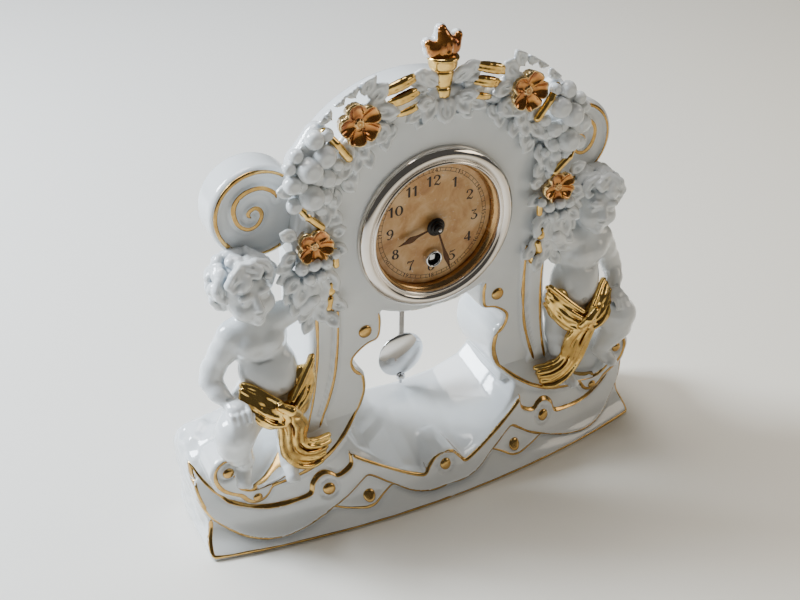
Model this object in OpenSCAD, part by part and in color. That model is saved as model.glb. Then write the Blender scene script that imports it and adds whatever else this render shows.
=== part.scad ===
/* [Overall] */
// Width of the base across its two front corners
base_w = 238; // [232:1:244]
// Depth of the clock from the foot of the bowed front to the back
base_d = 60; // [58:0.5:62]
// Thickness of the cast porcelain
wall = 4.5; // [4:0.1:5]
// Gap left between pieces that are set against each other
seat_gap = 0.2; // [0.1:0.05:0.3]

/* [Arch] */
// Height of the middle of the dial above the table
dial_z = 138.7; // [138:0.1:140]
// Radius of the arch at its face
arch_r = 67; // [66:0.5:68]
// Radius of the arch at its back edge
arch_back_r = 62; // [61:0.5:63]
// Depth of the arch from its face to its back edge
arch_d = 35; // [34:0.5:36]
// Half width of the case where the legs meet the arch
leg_x = 60.5; // [60:0.5:61.5]
// Height of the flat joint between the legs and the arch
joint_z = 102.4; // [101.5:0.1:103]
// Half width of the opening at that joint
step_x = 26.3; // [25.5:0.1:27]
// Height of the joint between the base and the legs
foot_z = 46; // [45:0.5:47]
// Half width of the notch that the pendulum rod swings in
rod_notch = 12; // [11:0.5:13]

/* [Base] */
// Radius of the bow of the front, seen from above
bow_r = 514; // [490:2:540]
// Height that the relief of the scrolls stands out of the front
relief = 1.8; // [1.2:0.1:2.4]
// Radius of the saddle between the legs
saddle_r = 70; // [66:1:76]
// Height of the saddle at its back edge
saddle_z = 32; // [31:0.5:33]
// Slope of the saddle down to the front, in degrees
saddle_slope = 19; // [17:0.5:21]
// Radius of the curled end of the seat scroll
volute_r = 8; // [7:0.5:9]
// Radius of a gilt boss
boss_r = 3; // [2.5:0.1:3.5]

/* [Side scrolls] */
// Radius of a side scroll
wing_r = 20.5; // [20:0.5:21]
// Distance of a side scroll's centre from the middle
wing_x = 77; // [76.5:0.5:78]
// Height of a side scroll's centre
wing_z = 159.5; // [158:0.5:161]
// Thickness of a side scroll
wing_t = 17; // [15:0.5:18]
// Distance of a side scroll behind the face of the arch
wing_back = 8.5; // [7:0.5:10]
// Turns of the groove in a side scroll
wing_turns = 1.75; // [1.5:0.25:2]

/* [Figures] */
// Size of the figures against the real ones
putto_scale = 1; // [0.97:0.01:1.02]
// Thickness of the gilt drapery
drape_t = 2.4; // [2:0.2:2.8]

/* [Flowers and fruit] */
// Radius of the ring that the garland follows
garland_r = 62; // [61:0.5:63]
// Width of the strip of leaves behind the garland
garland_w = 9; // [8:0.5:10]
// Thickness of that strip
garland_t = 2; // [1.6:0.2:2.4]
// Radius of a grape
grape_r = 3.6; // [3.2:0.1:3.8]
// Radius of an upper flower
flower_r = 8.5; // [8:0.1:9]
// Radius of a lower flower
low_flower_r = 7.5; // [7:0.1:8]
// Height of the torch above the arch
torch_h = 23.5; // [22:0.5:25]

/* [Bezel and dial] */
// Outer radius of the bezel
bezel_r = 38; // [37.5:0.1:38.5]
// Radius of the opening in the bezel
bezel_open = 31; // [30.5:0.1:31.5]
// Height of the bezel above the face
bezel_h = 4; // [3.5:0.1:4.5]
// Depth of the dial behind the face
dial_in = 3; // [2.8:0.1:3.4]
// Thickness of the dial
dial_t = 0.8; // [0.6:0.1:1]
// Length of the minute hand
minute_l = 25; // [24:0.5:26]
// Length of the hour hand
hour_l = 19; // [18:0.5:19.5]
// Hour shown on the dial
hour_shown = 8.45; // [8.3:0.05:8.6]

/* [Movement] */
// Outer radius of the movement's case
can_r = 34; // [33.8:0.1:34.2]
// Thickness of the movement's case
can_t = 0.8; // [0.6:0.1:0.9]
// Room between the dial and the front plate
motion_room = 5.2; // [5:0.1:5.6]
// Thickness of the two plates
plate_t = 1.5; // [1.3:0.1:1.7]
// Distance between the two plates
plates_gap = 14; // [14:0.1:14.6]
// Radius of a pillar
pillar_r = 1.75; // [1.5:0.05:1.9]
// Radial clearance of every pivot in its hole
pivot_gap = 0.04; // [0.02:0.01:0.08]
// Clearance of the barrel on its arbor, the bob on its rod and the nut on its thread
loose_gap = 0.09; // [0.06:0.01:0.1]
// Distance from the dial's middle down to the winding arbor
wind_drop = 16.5; // [16.4:0.1:17]
// Radius of the collar round the winding hole
collar_r = 4; // [3.8:0.1:4.2]
// Height of the collar above the dial
collar_h = 2; // [1.8:0.1:2.2]
// Width of the winding square
square_w = 2.4; // [2.2:0.1:2.6]

/* [Wheels] */
// Teeth of the barrel
barrel_teeth = 72; // [70:2:74]
// Leaves of the centre pinion
centre_leaves = 10; // [9:1:11]
// Teeth of the centre wheel
centre_teeth = 84; // [82:2:86]
// Teeth of the third wheel
third_teeth = 86; // [84:2:88]
// Leaves of the third pinion and of the escape pinion
small_leaves = 7; // [7:1:8]
// Module of the centre wheel
centre_mod = 0.3; // [0.29:0.005:0.305]
// Module of the third wheel
third_mod = 0.28; // [0.27:0.005:0.285]
// Teeth of the escape wheel
escape_teeth = 36; // [34:1:38]
// Radius of the escape wheel
escape_r = 8; // [7.8:0.1:8.2]
// Teeth of the cannon pinion
cannon_teeth = 12; // [12:1:12]
// Teeth of the minute wheel
minute_teeth = 36; // [36:1:36]
// Leaves of the minute wheel's own pinion
minute_leaves = 10; // [10:1:10]
// Teeth of the hour wheel
hour_teeth = 40; // [40:1:40]
// Module of the cannon pinion
cannon_mod = 0.36; // [0.35:0.005:0.37]

/* [Pendulum] */
// Height of the middle of the bob
bob_z = 51; // [50:0.5:54]
// Radius of the bob
bob_r = 12.5; // [12:0.25:13]
// Thickness of the bob
bob_t = 5; // [4.5:0.1:5.4]
// Width of the flat rod
rod_w = 2.6; // [2.2:0.1:3]
// Thickness of the flat rod
rod_t = 0.8; // [0.6:0.1:1]
// Distance of the rod behind the back plate
rod_back = 4.3; // [4:0.1:4.6]

/* [Hidden] */
$fn = 96;

porcelain = [0.93, 0.94, 0.95];
gold = [0.72, 0.5, 0.16];
lustre = [0.62, 0.3, 0.08];
nickel = [0.75, 0.75, 0.76];
brass = [0.8, 0.63, 0.3];
steel = [0.5, 0.51, 0.54];
dark = [0.1, 0.08, 0.07];

back_y = base_d / 2;
front_y = -base_d / 2;
face_y = back_y - arch_d;
dial_y = face_y + dial_in;
plate_y = dial_y + dial_t + motion_room;
inner_y = plate_y + plate_t;
rear_y = inner_y + plates_gap;
outer_y = rear_y + plate_t;
flange_y = outer_y + can_t;
rod_y = outer_y + rod_back;

can_in = can_r - can_t;
plate_r = can_in - 0.15;
hole_r = can_r + 0.3;

pressure = 30;
addendum = 0.75;
dedendum = 1;
backlash = 0.04;

barrel_mod = 2 * wind_drop / (barrel_teeth + centre_leaves);
barrel_z = dial_z - wind_drop;
third_a = 40;
third_d = centre_mod * (centre_teeth + small_leaves) / 2;
third_x = third_d * cos(third_a);
third_z = dial_z + third_d * sin(third_a);
escape_d = third_mod * (third_teeth + small_leaves) / 2;
escape_a = acos(-third_x / escape_d);
escape_z = third_z + escape_d * sin(escape_a);
pallet_span = 85;
anchor_d = escape_r / cos(pallet_span / 2);
pivot_z = escape_z + anchor_d;
minute_a = 150;
minute_d = cannon_mod * (cannon_teeth + minute_teeth) / 2;
minute_x = minute_d * cos(minute_a);
minute_z = dial_z + minute_d * sin(minute_a);
hour_mod = 2 * minute_d / (minute_leaves + hour_teeth);
hour_a = -hour_shown * 30;
minute_shown_a = -162;

arbor_r = 0.9;
pivot_r = 0.6;
wind_r = 1.6;
cannon_r = 1.2;
hour_pipe_r = 1.9;
wheel_t = 0.8;
hub_h = 2.6;
barrel_front = inner_y + 0.8;
barrel_h = 9.4;
barrel_wall_r = barrel_mod * barrel_teeth / 2 - 1.1;
spring_turns = 7;
spring_t = 0.45;
centre_y = rear_y - 3;
third_y = inner_y + 4.5;
escape_y = inner_y + 7.5;
minute_y = plate_y - 1.5;
hour_y = dial_y + dial_t + 1.2;
hour_hand_y = dial_y - collar_h - 0.9;
minute_hand_y = hour_hand_y - 1.3;
ratchet_y = plate_y - 1.6;
ratchet_r = 4.6;
ratchet_teeth = 18;
click_x = 7.4;
click_z = barrel_z + 1.6;

// Catmull-Rom curve through a list of points; a stretch leaves out the last, for a corner that the next one starts with
function curve_at(p, i, t) = let (a = p[max(i - 1, 0)], b = p[i], c = p[i + 1], d = p[min(i + 2, len(p) - 1)])
    0.5 * ((2 * b) + (c - a) * t + (2 * a - 5 * b + 4 * c - d) * t * t + (3 * b - a - 3 * c + d) * t * t * t);
function stretch(p, steps) = [for (i = [0:len(p) - 2]) for (k = [0:steps - 1]) curve_at(p, i, k / steps)];
function curve(p, steps) = concat(stretch(p, steps), [p[len(p) - 1]]);

// Outline that starts and ends on the middle line, made whole with its mirror image
function whole(p) = concat(p, [for (i = [len(p) - 1:-1:0]) if (p[i].x > 0) [-p[i].x, p[i].y]]);

// Front-view outline made solid from one depth to another
module slab(y0, y1) {
    translate([0, y1, 0]) rotate([90, 0, 0]) linear_extrude(y1 - y0) children();
}

// Profile of radius and depth turned about an axis that runs from front to back
module about_y(z) {
    translate([0, 0, z]) rotate([-90, 0, 0]) rotate_extrude() children();
}

module both_sides() {
    children();
    mirror([1, 0, 0]) children();
}

module disc_at(x, z, r) {
    translate([x, z]) circle(r);
}

// Front of the case seen from the side: rolled foot, swept ogee, upright face
front_sweep = [[0, 0], [0, 2], [1.8, 4], [6.4, 8.4], [9.2, 14], [12, 25], [15.8, 36], [20.8, 45], [25.5, 56]];
bow_in = base_d + 25;

module flare(out) {
    translate([0, front_y + bow_r, 0]) rotate([0, 0, -90 - 16]) rotate_extrude(angle = 32, $fn = 720)
        polygon(concat([[bow_r - bow_in, 0]], [for (p = front_sweep) [bow_r + out - p[0], p[1]]],
            [[bow_r - bow_in, 56]]));
}

module case_mass(out = 0) {
    flare(out);
    slab(face_y - out, back_y) translate([-leg_x - 10, 0]) square([2 * leg_x + 20, joint_z]);
}

// Gilt bosses: how far they stand out, and the one at the top of each leg
boss_h = 1;
leg_boss = [34.5, 94.5];

// Outer edge and inner edge of a leg, from the joint with the arch down to the base
leg_inner = [[step_x, joint_z], [step_x - 0.8, 97], [step_x, 90], [28.5, 87.2], [33, 86], [38, 82.5], [39.8, 79.5],
    [38.3, 75], [35, 72], [33.8, 68], [33.6, 61], [36, 53], [40, foot_z]];
leg_outer = [[68.5, foot_z], [66.5, 53], [64.5, 60], [62, 75], [leg_x, 92], [leg_x, joint_z]];

module leg_outline() {
    polygon(concat(curve(leg_inner, 3), curve(leg_outer, 3)));
}

module leg() {
    color(porcelain) difference() {
        intersection() {
            case_mass();
            slab(front_y, back_y) leg_outline();
        }
        slab(face_y + wall, back_y - wall)
            polygon([[step_x + wall, joint_z + 1], [44, 84], [44, 76], [39, 66], [47, foot_z - 1],
                [62, foot_z - 1], [57, 76], [leg_x - wall, 92], [leg_x - wall, joint_z + 1]]);
    }
    color(porcelain) slab(face_y - boss_h, face_y + 1) disc_at(leg_boss.x, leg_boss.y, boss_r + 0.5);
}

module left_leg() mirror([1, 0, 0]) leg();
module right_leg() leg();

lip_drop = 5.4;
floor_r = (step_x * step_x + lip_drop * lip_drop) / (2 * lip_drop);
floor_z = joint_z - lip_drop + floor_r;

module arch_cone(out = 0) {
    about_y(dial_z) polygon([[0, face_y - out], [arch_r - 2.5 + out, face_y - out], [arch_r - 0.8 + out, face_y + 0.7],
        [arch_r + out, face_y + 2.5], [arch_back_r + out, back_y], [0, back_y]]);
}

module arch_bore() {
    intersection() {
        about_y(dial_z) polygon([[0, face_y + wall], [arch_r - wall - 0.5, face_y + wall],
            [arch_back_r - wall, back_y + 1], [0, back_y + 1]]);
        slab(face_y, back_y + 1) disc_at(0, floor_z, floor_r - wall);
    }
    both_sides() slab(face_y + wall, back_y + 1)
        translate([step_x + wall, joint_z - 1]) square([leg_x - step_x - 2 * wall, 24]);
}

module arch() {
    color(porcelain) difference() {
        union() {
            intersection() {
                arch_cone();
                slab(face_y, back_y) translate([-arch_r, joint_z]) square([2 * arch_r, 2 * arch_r]);
            }
            slab(face_y, back_y) translate([-leg_x, joint_z]) square([2 * leg_x, 22]);
            slab(face_y, back_y) intersection() {
                disc_at(0, floor_z, floor_r);
                translate([-step_x, joint_z - lip_drop - 1]) square([2 * step_x, lip_drop + 2]);
            }
        }
        arch_bore();
        slab(face_y - 1, face_y + wall + 1) disc_at(0, dial_z, hole_r);
        slab(rod_y - 3.5, back_y + 1) translate([-rod_notch, joint_z - lip_drop - 2]) square([2 * rod_notch, 12]);
    }
}

// Half of the base seen from the front: rolled foot, end scroll, seat, foot of the leg
half_w = base_w / 2;
base_end = [[half_w - 2, 0], [half_w, 4], [half_w - 4, 11], [half_w - 4, 17], [half_w - 1, 30], [half_w, 38],
    [half_w - 3, foot_z]];
seat_top = [[104, foot_z], [99, 34], [90, 30.5], [80, 32], [72, 36], [68.5, foot_z]];

module base_outline() {
    polygon(whole(concat([[0, 0]], curve(base_end, 3), curve(seat_top, 3), [[40, foot_z], [0, foot_z]])));
}

// Raised crescent that runs along the front, dips at the legs and meets its twin in the middle
crescent_low = [[0, 7], [10, 7], [20, 9.5], [30, 16], [40, 22], [50, 15.5], [58, 11.5], [75, 6.5], [95, 6.5],
    [104, 10], [113, 18], [118, 30], [118, 43]];
crescent_top = [[118, 43], [115, 38], [105, 25.5], [90, 19], [75, 19], [68, 20.5], [66, 25.5], [61, 28.8], [53, 26],
    [47, 30], [46.6, 35.8]];
wave_top = [[46.6, 35.8], [38, 30.5], [28, 24], [20, 19], [12, 15.5], [8, 18], [5, 22], [0, 23.5]];

module crescent_outline() {
    polygon(whole(concat(stretch(crescent_low, 3), stretch(crescent_top, 3), curve(wave_top, 3))));
}

// Seat scroll that rises from the curl at the end of the base to the foot of the leg
scroll_low = [[half_w - 6, 50], [110, 36], [101, 28.5], [97, 24], [92, 22], [87, 24], [84, 28.5], [75, 29], [65, 31.5],
    [55, 35.5], [50, 38.5]];
scroll_top = [[50, 44], [60, 40], [75, 34.5], [90, 30.5], [97, 31.5], [101, 37]];

seat_y = front_y + 16.8;

module scroll_outline() {
    polygon(concat(curve(scroll_low, 3), curve(scroll_top, 3)));
}

saddle_x = 40;

module saddle_cut() {
    intersection() {
        translate([0, back_y, saddle_z + saddle_r]) rotate([90 + saddle_slope, 0, 0])
            translate([0, 0, -base_d / 2]) cylinder(r = saddle_r, h = 2.5 * base_d, $fn = 240);
        translate([-saddle_x, -base_d, 0]) cube([2 * saddle_x, 2 * base_d, foot_z + 1]);
    }
}

module boss_at(x, z, depth) {
    slab(depth - boss_h, depth + 4) disc_at(x, z, boss_r);
}

function bow_at(x) = front_y + bow_r - sqrt(bow_r * bow_r - x * x);

module base_core() {
    difference() {
        intersection() {
            case_mass();
            slab(front_y, back_y) base_outline();
        }
        saddle_cut();
    }
}

module base_relief() {
    intersection() {
        flare(relief);
        slab(front_y - relief - 2, face_y + 3) crescent_outline();
    }
    both_sides() slab(seat_y, face_y + 1) scroll_outline();
}

// Rounded ends behind the curls, clipped to the height of the foot
volute_x = 104.5;
volute_y = front_y + 15;
volute_t = 12;

module base_ends() {
    intersection() {
        both_sides() {
            slab(volute_y, volute_y + volute_t) disc_at(volute_x, foot_z, volute_r);
            translate([half_w - 20, 8, 32]) sphere(20);
            translate([half_w - 34, 13, 33]) sphere(13);
            translate([half_w - 12.5, 17, 41]) sphere(10.5);
            translate([half_w - 27, 19, 42.5]) sphere(10);
            translate([half_w - 13.2, 14, 17]) sphere(12);
        }
        slab(front_y, back_y - 0.5) translate([-half_w - 3, 1]) square([2 * half_w + 6, 2 * foot_z]);
    }
}

module base_bosses() {
    both_sides() {
        boss_at(59.4, 21.5, bow_at(59.4) + 11 - relief);
        boss_at(40.5, 12.5, bow_at(40.5) + 8.5);
        boss_at(92.5, 27, seat_y);
    }
}

module base() {
    color(porcelain) difference() {
        union() {
            base_core();
            base_relief();
            base_ends();
            base_bosses();
        }
        base_bore();
    }
}

// The base is cast hollow and stands on its rim
bore_x = half_w * 0.28;
bore_end = half_w * 0.8;

module base_bore() {
    translate([-bore_x + wall, bow_at(bore_x) + 9 + wall, -1])
        cube([2 * (bore_x - wall), back_y - wall - bow_at(bore_x) - 9 - wall, 14]);
    both_sides() translate([bore_x, bow_at(bore_end) + 12 + wall, -1])
        cube([bore_end - bore_x, back_y - wall - bow_at(bore_end) - 12 - wall, 23]);
}

// Side scroll: a thick rounded disc against the arch, with a grooved spiral in its face
wing_y = face_y + wing_back;
groove_w = 0.9;

function spiral(from, to, turns, start, steps) = [for (k = [0:steps]) let (t = k / steps, r = from + (to - from) * t)
    [r * cos(start + 360 * turns * t), r * sin(start + 360 * turns * t)]];

module spiral_band(from, to, turns, start, width, steps) {
    polygon(concat(spiral(from + width, to + width, turns, start, steps),
        [for (k = [steps:-1:0]) spiral(from, to, turns, start, steps)[k]]));
}

module scroll() {
    color(porcelain) difference() {
        translate([wing_x, 0, 0]) about_y(wing_z) polygon([[0, wing_y], [wing_r - 3, wing_y], [wing_r - 0.9, wing_y + 0.8],
            [wing_r, wing_y + 3], [wing_r - 0.5, wing_y + wing_t - 3], [wing_r - 3.5, wing_y + wing_t],
            [0, wing_y + wing_t]]);
        arch_cone();
        slab(wing_y - 1, wing_y + 0.8) translate([wing_x + 1, wing_z - 1.5])
            spiral_band(2, wing_r - 5, wing_turns, 60, groove_w, 48);
    }
}

module left_scroll() mirror([1, 0, 0]) scroll();
module right_scroll() scroll();

// Figure: a chubby boy who stands on his inner leg with his outer foot up on the scroll
putto_at = [83, face_y + 1.5, 32.2];
head_at = [4.2, 2.6, 100.2];
hair_r = 13.6;
lock_r = 4.2;

module limb(a, b, ra, rb) {
    hull() {
        translate(a) sphere(ra, $fn = 14);
        translate(b) sphere(rb, $fn = 14);
    }
}

module raised_arm(out = 0) {
    translate(putto_at) scale(putto_scale) {
        limb([-7.4, 1.9, 80.2], [-16.4, -1.8, 84.4], 5.7 + out, 4.3 + out);
        limb([-16.4, -1.8, 84.4], [-22, -6.2, 89.8], 4.3 + out, 2.9 + out);
    }
}

module putto_form(out = 0) {
    raised_arm(out);
    translate(putto_at) scale(putto_scale) {
        limb([-4, 1.6, 42], [-2.6, 0.3, 56], 9.6 + out, 10.2 + out);
        limb([-2.6, 0.3, 56], [0.6, 2.4, 71], 10.2 + out, 9.4 + out);
        limb([-7, 1.9, 80], [11.6, 2.6, 76], 5.6 + out, 5.8 + out);
        limb([1.4, 2.9, 79], [3, 2.9, 88], 5.8 + out, 5.2 + out);
        limb([3.6, -0.8, 91], [head_at.x, head_at.y, head_at.z], 9.2 + out, hair_r - 1 + out);
        for (a = [-40:35:205])
            translate(head_at + [11 * cos(a), -3, 1 + 7.6 * sin(a)]) sphere(lock_r + out, $fn = 10);
        limb([12, 2.6, 75.8], [20.4, 3.6, 61], 5.7 + out, 4.9 + out);
        limb([20.4, 3.6, 61], [22, 2.6, 56.4], 4.9 + out, 4.5 + out);
        limb([22, 2.6, 56.4], [17.6, -6.4, 49.6], 4.5 + out, 3.1 + out);
        limb([17.6, -6.4, 49.6], [15.6, -13.4, 48.2], 3.2 + out, 3 + out);
        limb([4, 1, 42.4], [17.2, -11.3, 37.4], 9.5 + out, 8.6 + out);
        limb([17.2, -11.3, 37.4], [18.2, -10.8, 30], 8.6 + out, 7 + out);
        limb([18.2, -10.8, 30], [14.2, -8.4, 17.6], 7 + out, 4.2 + out);
        limb([14, -6.4, 13], [16.6, -14, 9.6], 4 + out, 2.7 + out);
        limb([-7.6, 0.8, 41], [-9.8, -4.4, 21.8], 9.4 + out, 6.2 + out);
        limb([-9.8, -4.4, 21.8], [-8.2, -5.4, 6], 6.2 + out, 4 + out);
        limb([-7.8, -6.2, 4.4], [-6.3, -13.6, 3.2], 3.8 + out, 2.6 + out);
    }
}

module putto() {
    color(porcelain) difference() {
        putto_form();
        slab(front_y - 5, back_y) translate([50, 0]) square([60, putto_at[2]]);
        slab(face_y - seat_gap, back_y) translate([-leg_x - 10, 0]) square([2 * leg_x + 10 + seat_gap, 130]);
        slab(wing_y - seat_gap, back_y) disc_at(wing_x, wing_z, wing_r + seat_gap);
        base_solids(seat_gap);
    }
}

// What the feet and the drapery stand clear of
module base_solids(out) {
    translate([0, 0, -out]) slab(seat_y - out, back_y) translate([0, 2 * out]) scroll_outline();
    slab(volute_y - out, volute_y + volute_t + out) disc_at(volute_x, foot_z, volute_r + out);
    intersection() {
        flare(out);
        slab(front_y, back_y) square([leg_x + 10, foot_z + 12]);
    }
}

module left_putto() mirror([1, 0, 0]) putto();
module right_putto() putto();

// Gilt cloth round the hips, knotted in front, with its end hanging to the foot of the leg
module drape_form() {
    translate(putto_at) scale(putto_scale) {
        limb([13, -3.6, 50.6], [1, -11.8, 44.6], 1.4 + drape_t, 1.8 + drape_t);
        limb([1, -11.8, 44.6], [-13, -8.6, 47.4], 1.8 + drape_t, 1.8 + drape_t);
        limb([-13, -8.6, 47.4], [-18.6, -3.6, 54.6], 1.8 + drape_t, 0.6 + drape_t);
        limb([-1, -12.6, 40], [-7, -11.6, 22], 2.2 + drape_t, 1.6 + drape_t);
        limb([-7, -11.6, 22], [-10, -11.4, 8], 1.6 + drape_t, 1.4 + drape_t);
        limb([-10, -11.6, 9], [-24, -11, 12], 0.8 + drape_t, 0.2 + drape_t);
    }
}

module drape() {
    color(gold) difference() {
        drape_form();
        putto_form(seat_gap);
        slab(face_y - seat_gap, back_y) translate([0, 0]) square([leg_x + 1, 130]);
        base_solids(seat_gap);
    }
}

module left_drape() mirror([1, 0, 0]) drape();
module right_drape() drape();

// Festoon: a strip of leaves on the face, from the torch down both sides of the arch
leaf_y = face_y - garland_t;
leaf_h = 1.6;
fruit_y = leaf_y - leaf_h;
garland_end = -24;
garland_start = 83;

module leaf(l, w) {
    hull() {
        slab(leaf_y - 0.5, leaf_y) intersection() {
            translate([w * 0.8, l / 2]) circle(l * 0.62, $fn = 20);
            translate([-w * 0.8, l / 2]) circle(l * 0.62, $fn = 20);
        }
        slab(leaf_y - leaf_h, leaf_y) translate([-0.3, l * 0.15]) square([0.6, l * 0.65]);
    }
}

module garland() {
    color(porcelain) difference() {
        garland_form();
        raised_arm(seat_gap);
    }
}

module garland_form() {
    union() {
        slab(leaf_y, face_y) intersection() {
            difference() {
                disc_at(0, dial_z, garland_r + garland_w / 2);
                disc_at(0, dial_z, garland_r - garland_w / 2);
            }
            translate([0, dial_z]) polygon([[0, 0], for (a = [garland_end:(garland_start - garland_end) / 4:garland_start])
                2 * arch_r * [cos(a), sin(a)]]);
        }
        for (k = [0:12])
            let (a = garland_end + 4 + k * (garland_start - garland_end - 8) / 12, side = k % 2 == 0 ? 1 : -1)
                translate([garland_r * cos(a), 0, dial_z + garland_r * sin(a)])
                    rotate([0, 90 - a + side * 62, 0]) leaf(11, 6);
    }
}

module left_garland() mirror([1, 0, 0]) garland();
module right_garland() garland();

// Bunch of grapes: rows of berries that narrow down the side of the arch
grape_step = 96 * grape_r / garland_r;

module grapes() {
    color(porcelain) intersection() {
        for (row = [0:4])
            let (count = [3, 4, 3, 2, 1][row], a = 45 - row * grape_step)
                for (i = [0:count - 1])
                    let (r = garland_r + 1 + (i - (count - 1) / 2) * grape_r * 1.5)
                        translate([r * cos(a), fruit_y - grape_r * 0.45, dial_z + r * sin(a)]) sphere(grape_r, $fn = 10);
        slab(fruit_y - 3 * grape_r, fruit_y) disc_at(0, dial_z, 2 * arch_r);
    }
}

module left_grapes() mirror([1, 0, 0]) grapes();
module right_grapes() grapes();

// Five round petals about a ringed eye
module flower(x, z, r) {
    color(lustre) {
        for (k = [0:4])
            slab(fruit_y - 2.2, fruit_y) disc_at(x + r * 0.58 * sin(72 * k), z + r * 0.58 * cos(72 * k), r * 0.42);
        slab(fruit_y - 3, fruit_y) disc_at(x, z, r * 0.34);
        translate([x, fruit_y - 3, z]) sphere(r * 0.2);
    }
}

upper_at = (garland_r + 7.4) * [cos(56), sin(56)];
lower_at = (garland_r - 2.1) * [cos(8.1), sin(8.1)];

module upper_left_flower() flower(-upper_at[0], dial_z + upper_at[1], flower_r);
module upper_right_flower() flower(upper_at[0], dial_z + upper_at[1], flower_r);
module lower_left_flower() flower(-lower_at[0], dial_z + lower_at[1], low_flower_r);
module lower_right_flower() flower(lower_at[0], dial_z + lower_at[1], low_flower_r);

// Torch on the crown of the arch
torch_y = face_y + 1.5;
crown_z = dial_z + arch_r;
flame_z = crown_z + 9.5;

module torch_socket() {
    color(gold) difference() {
        translate([0, torch_y, 0]) rotate_extrude()
            polygon([[0, crown_z - 5], [3.4, crown_z - 5], [3.8, crown_z], [5, crown_z + 4], [6.6, flame_z - 1.6],
                [7, flame_z - 0.8], [6.6, flame_z], [0, flame_z]]);
        arch_cone(seat_gap);
        slab(face_y - seat_gap - garland_t, back_y) disc_at(0, dial_z, garland_r - garland_w);
    }
}

module torch_flame() {
    color(lustre) translate([0, torch_y, flame_z]) intersection() {
        union() {
            hull() {
                translate([0, 0, 0]) cylinder(r = 4.5, h = 1, $fn = 24);
                translate([0, 0, 6]) sphere(4, $fn = 18);
                translate([0, 0, crown_z + torch_h - flame_z - 0.6]) sphere(0.6, $fn = 10);
            }
            for (s = [-1, 1]) hull() {
                translate([s * 2, 0, 0]) cylinder(r = 3.4, h = 1, $fn = 24);
                translate([s * 5, 0, 6]) sphere(3.2, $fn = 18);
                translate([s * 8.2, 0, 9.4]) sphere(0.8, $fn = 10);
            }
        }
        cylinder(r = 10, h = torch_h);
    }
}

// Metal ring round the dial, with a skirt that holds the dial in the movement's case
module bezel() {
    color(nickel) about_y(dial_z) polygon(concat([[bezel_open, dial_y]],
        curve([[bezel_open, face_y - 0.4], [bezel_open + 0.9, face_y - bezel_h * 0.75], [bezel_open + 2.6, face_y - bezel_h],
            [bezel_r - 2.4, face_y - bezel_h * 0.92], [bezel_r - 0.8, face_y - bezel_h * 0.55], [bezel_r, face_y - 0.6],
            [bezel_r, face_y]], 3),
        [[can_in - 0.1, face_y], [can_in - 0.1, dial_y]]));
}

foot_r = 0.8;
feet_ring = 22;
feet = [60, 190, 300];

module dial() {
    color([0.72, 0.58, 0.36]) {
        difference() {
            slab(dial_y, dial_y + dial_t) disc_at(0, dial_z, can_in - 0.1);
            slab(dial_y - 1, dial_y + dial_t + 1) {
                disc_at(0, dial_z, hour_pipe_r + 0.4);
                disc_at(0, barrel_z, collar_r - 0.6 + pivot_gap);
            }
        }
        for (a = feet)
            slab(dial_y + dial_t, plate_y) disc_at(feet_ring * cos(a), dial_z + feet_ring * sin(a), foot_r);
    }
}

module winding_collar() {
    color(nickel) about_y(barrel_z) polygon([[collar_r - 1, dial_y - collar_h], [collar_r - 0.4, dial_y - collar_h],
        [collar_r, dial_y - collar_h + 0.4], [collar_r, dial_y], [collar_r - 0.6, dial_y],
        [collar_r - 0.6, dial_y + dial_t + 1], [collar_r - 1, dial_y + dial_t + 1]]);
}

screw_ring = can_in - 1;
screw_r = 0.5;
case_screw_a = [90, 210, 330];

module movement_can() {
    color(brass) difference() {
        about_y(dial_z) polygon([[can_in, face_y], [can_r, face_y], [can_r, flange_y], [can_in - 2, flange_y],
            [can_in - 2, outer_y], [can_in, outer_y]]);
        for (a = case_screw_a)
            slab(outer_y - 1, flange_y + 1) disc_at(screw_ring * cos(a), dial_z + screw_ring * sin(a), screw_r + pivot_gap);
    }
}

// Ring that clamps the case from behind against the inside of the porcelain face
clamp_y = face_y + wall;
clamp_w = 3.2;
clamp_t = 3;

module clamp_ring() {
    color(steel) difference() {
        slab(clamp_y, clamp_y + clamp_t) difference() {
            disc_at(0, dial_z, can_r + clamp_w);
            disc_at(0, dial_z, can_r + 0.05);
        }
        for (a = [30, 150, 270])
            translate([0, clamp_y + clamp_t / 2, dial_z]) rotate([0, a, 0])
                cylinder(r = screw_r + 0.3, h = can_r + clamp_w + 5);
    }
}

module clamp_screws() {
    color(steel) for (a = [30, 150, 270])
        translate([0, clamp_y + clamp_t / 2, dial_z]) rotate([0, a, 0]) {
            translate([0, 0, can_r + 0.05]) cylinder(r = screw_r + 0.25, h = clamp_w + 0.3);
            translate([0, 0, can_r + clamp_w + 0.2]) cylinder(r = 1.3, h = 1);
        }
}

module case_screws() {
    color(steel) for (a = case_screw_a) {
        slab(rear_y, flange_y) disc_at(screw_ring * cos(a), dial_z + screw_ring * sin(a), screw_r);
        slab(flange_y, flange_y + 0.8) disc_at(screw_ring * cos(a), dial_z + screw_ring * sin(a), 0.9);
    }
}

pillar_ring = 29;
spigot_r = 0.9;
pillar_a = [45, 135, 225, 315];

module at_pillars() {
    for (a = pillar_a) translate([pillar_ring * cos(a), dial_z + pillar_ring * sin(a)]) children();
}

module train_holes(r) {
    disc_at(third_x, third_z, r);
    disc_at(0, escape_z, r);
}

module front_plate() {
    color(brass) slab(plate_y, inner_y) difference() {
        disc_at(0, dial_z, plate_r);
        at_pillars() circle(spigot_r + pivot_gap);
        disc_at(0, dial_z, arbor_r + pivot_gap);
        disc_at(0, barrel_z, wind_r + pivot_gap);
        disc_at(0, pivot_z, pivot_r + pivot_gap);
        disc_at(minute_x, minute_z, post_r + pivot_gap);
        disc_at(click_x, click_z, post_r + pivot_gap);
        train_holes(small_pivot_r + pivot_gap);
    }
}

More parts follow.
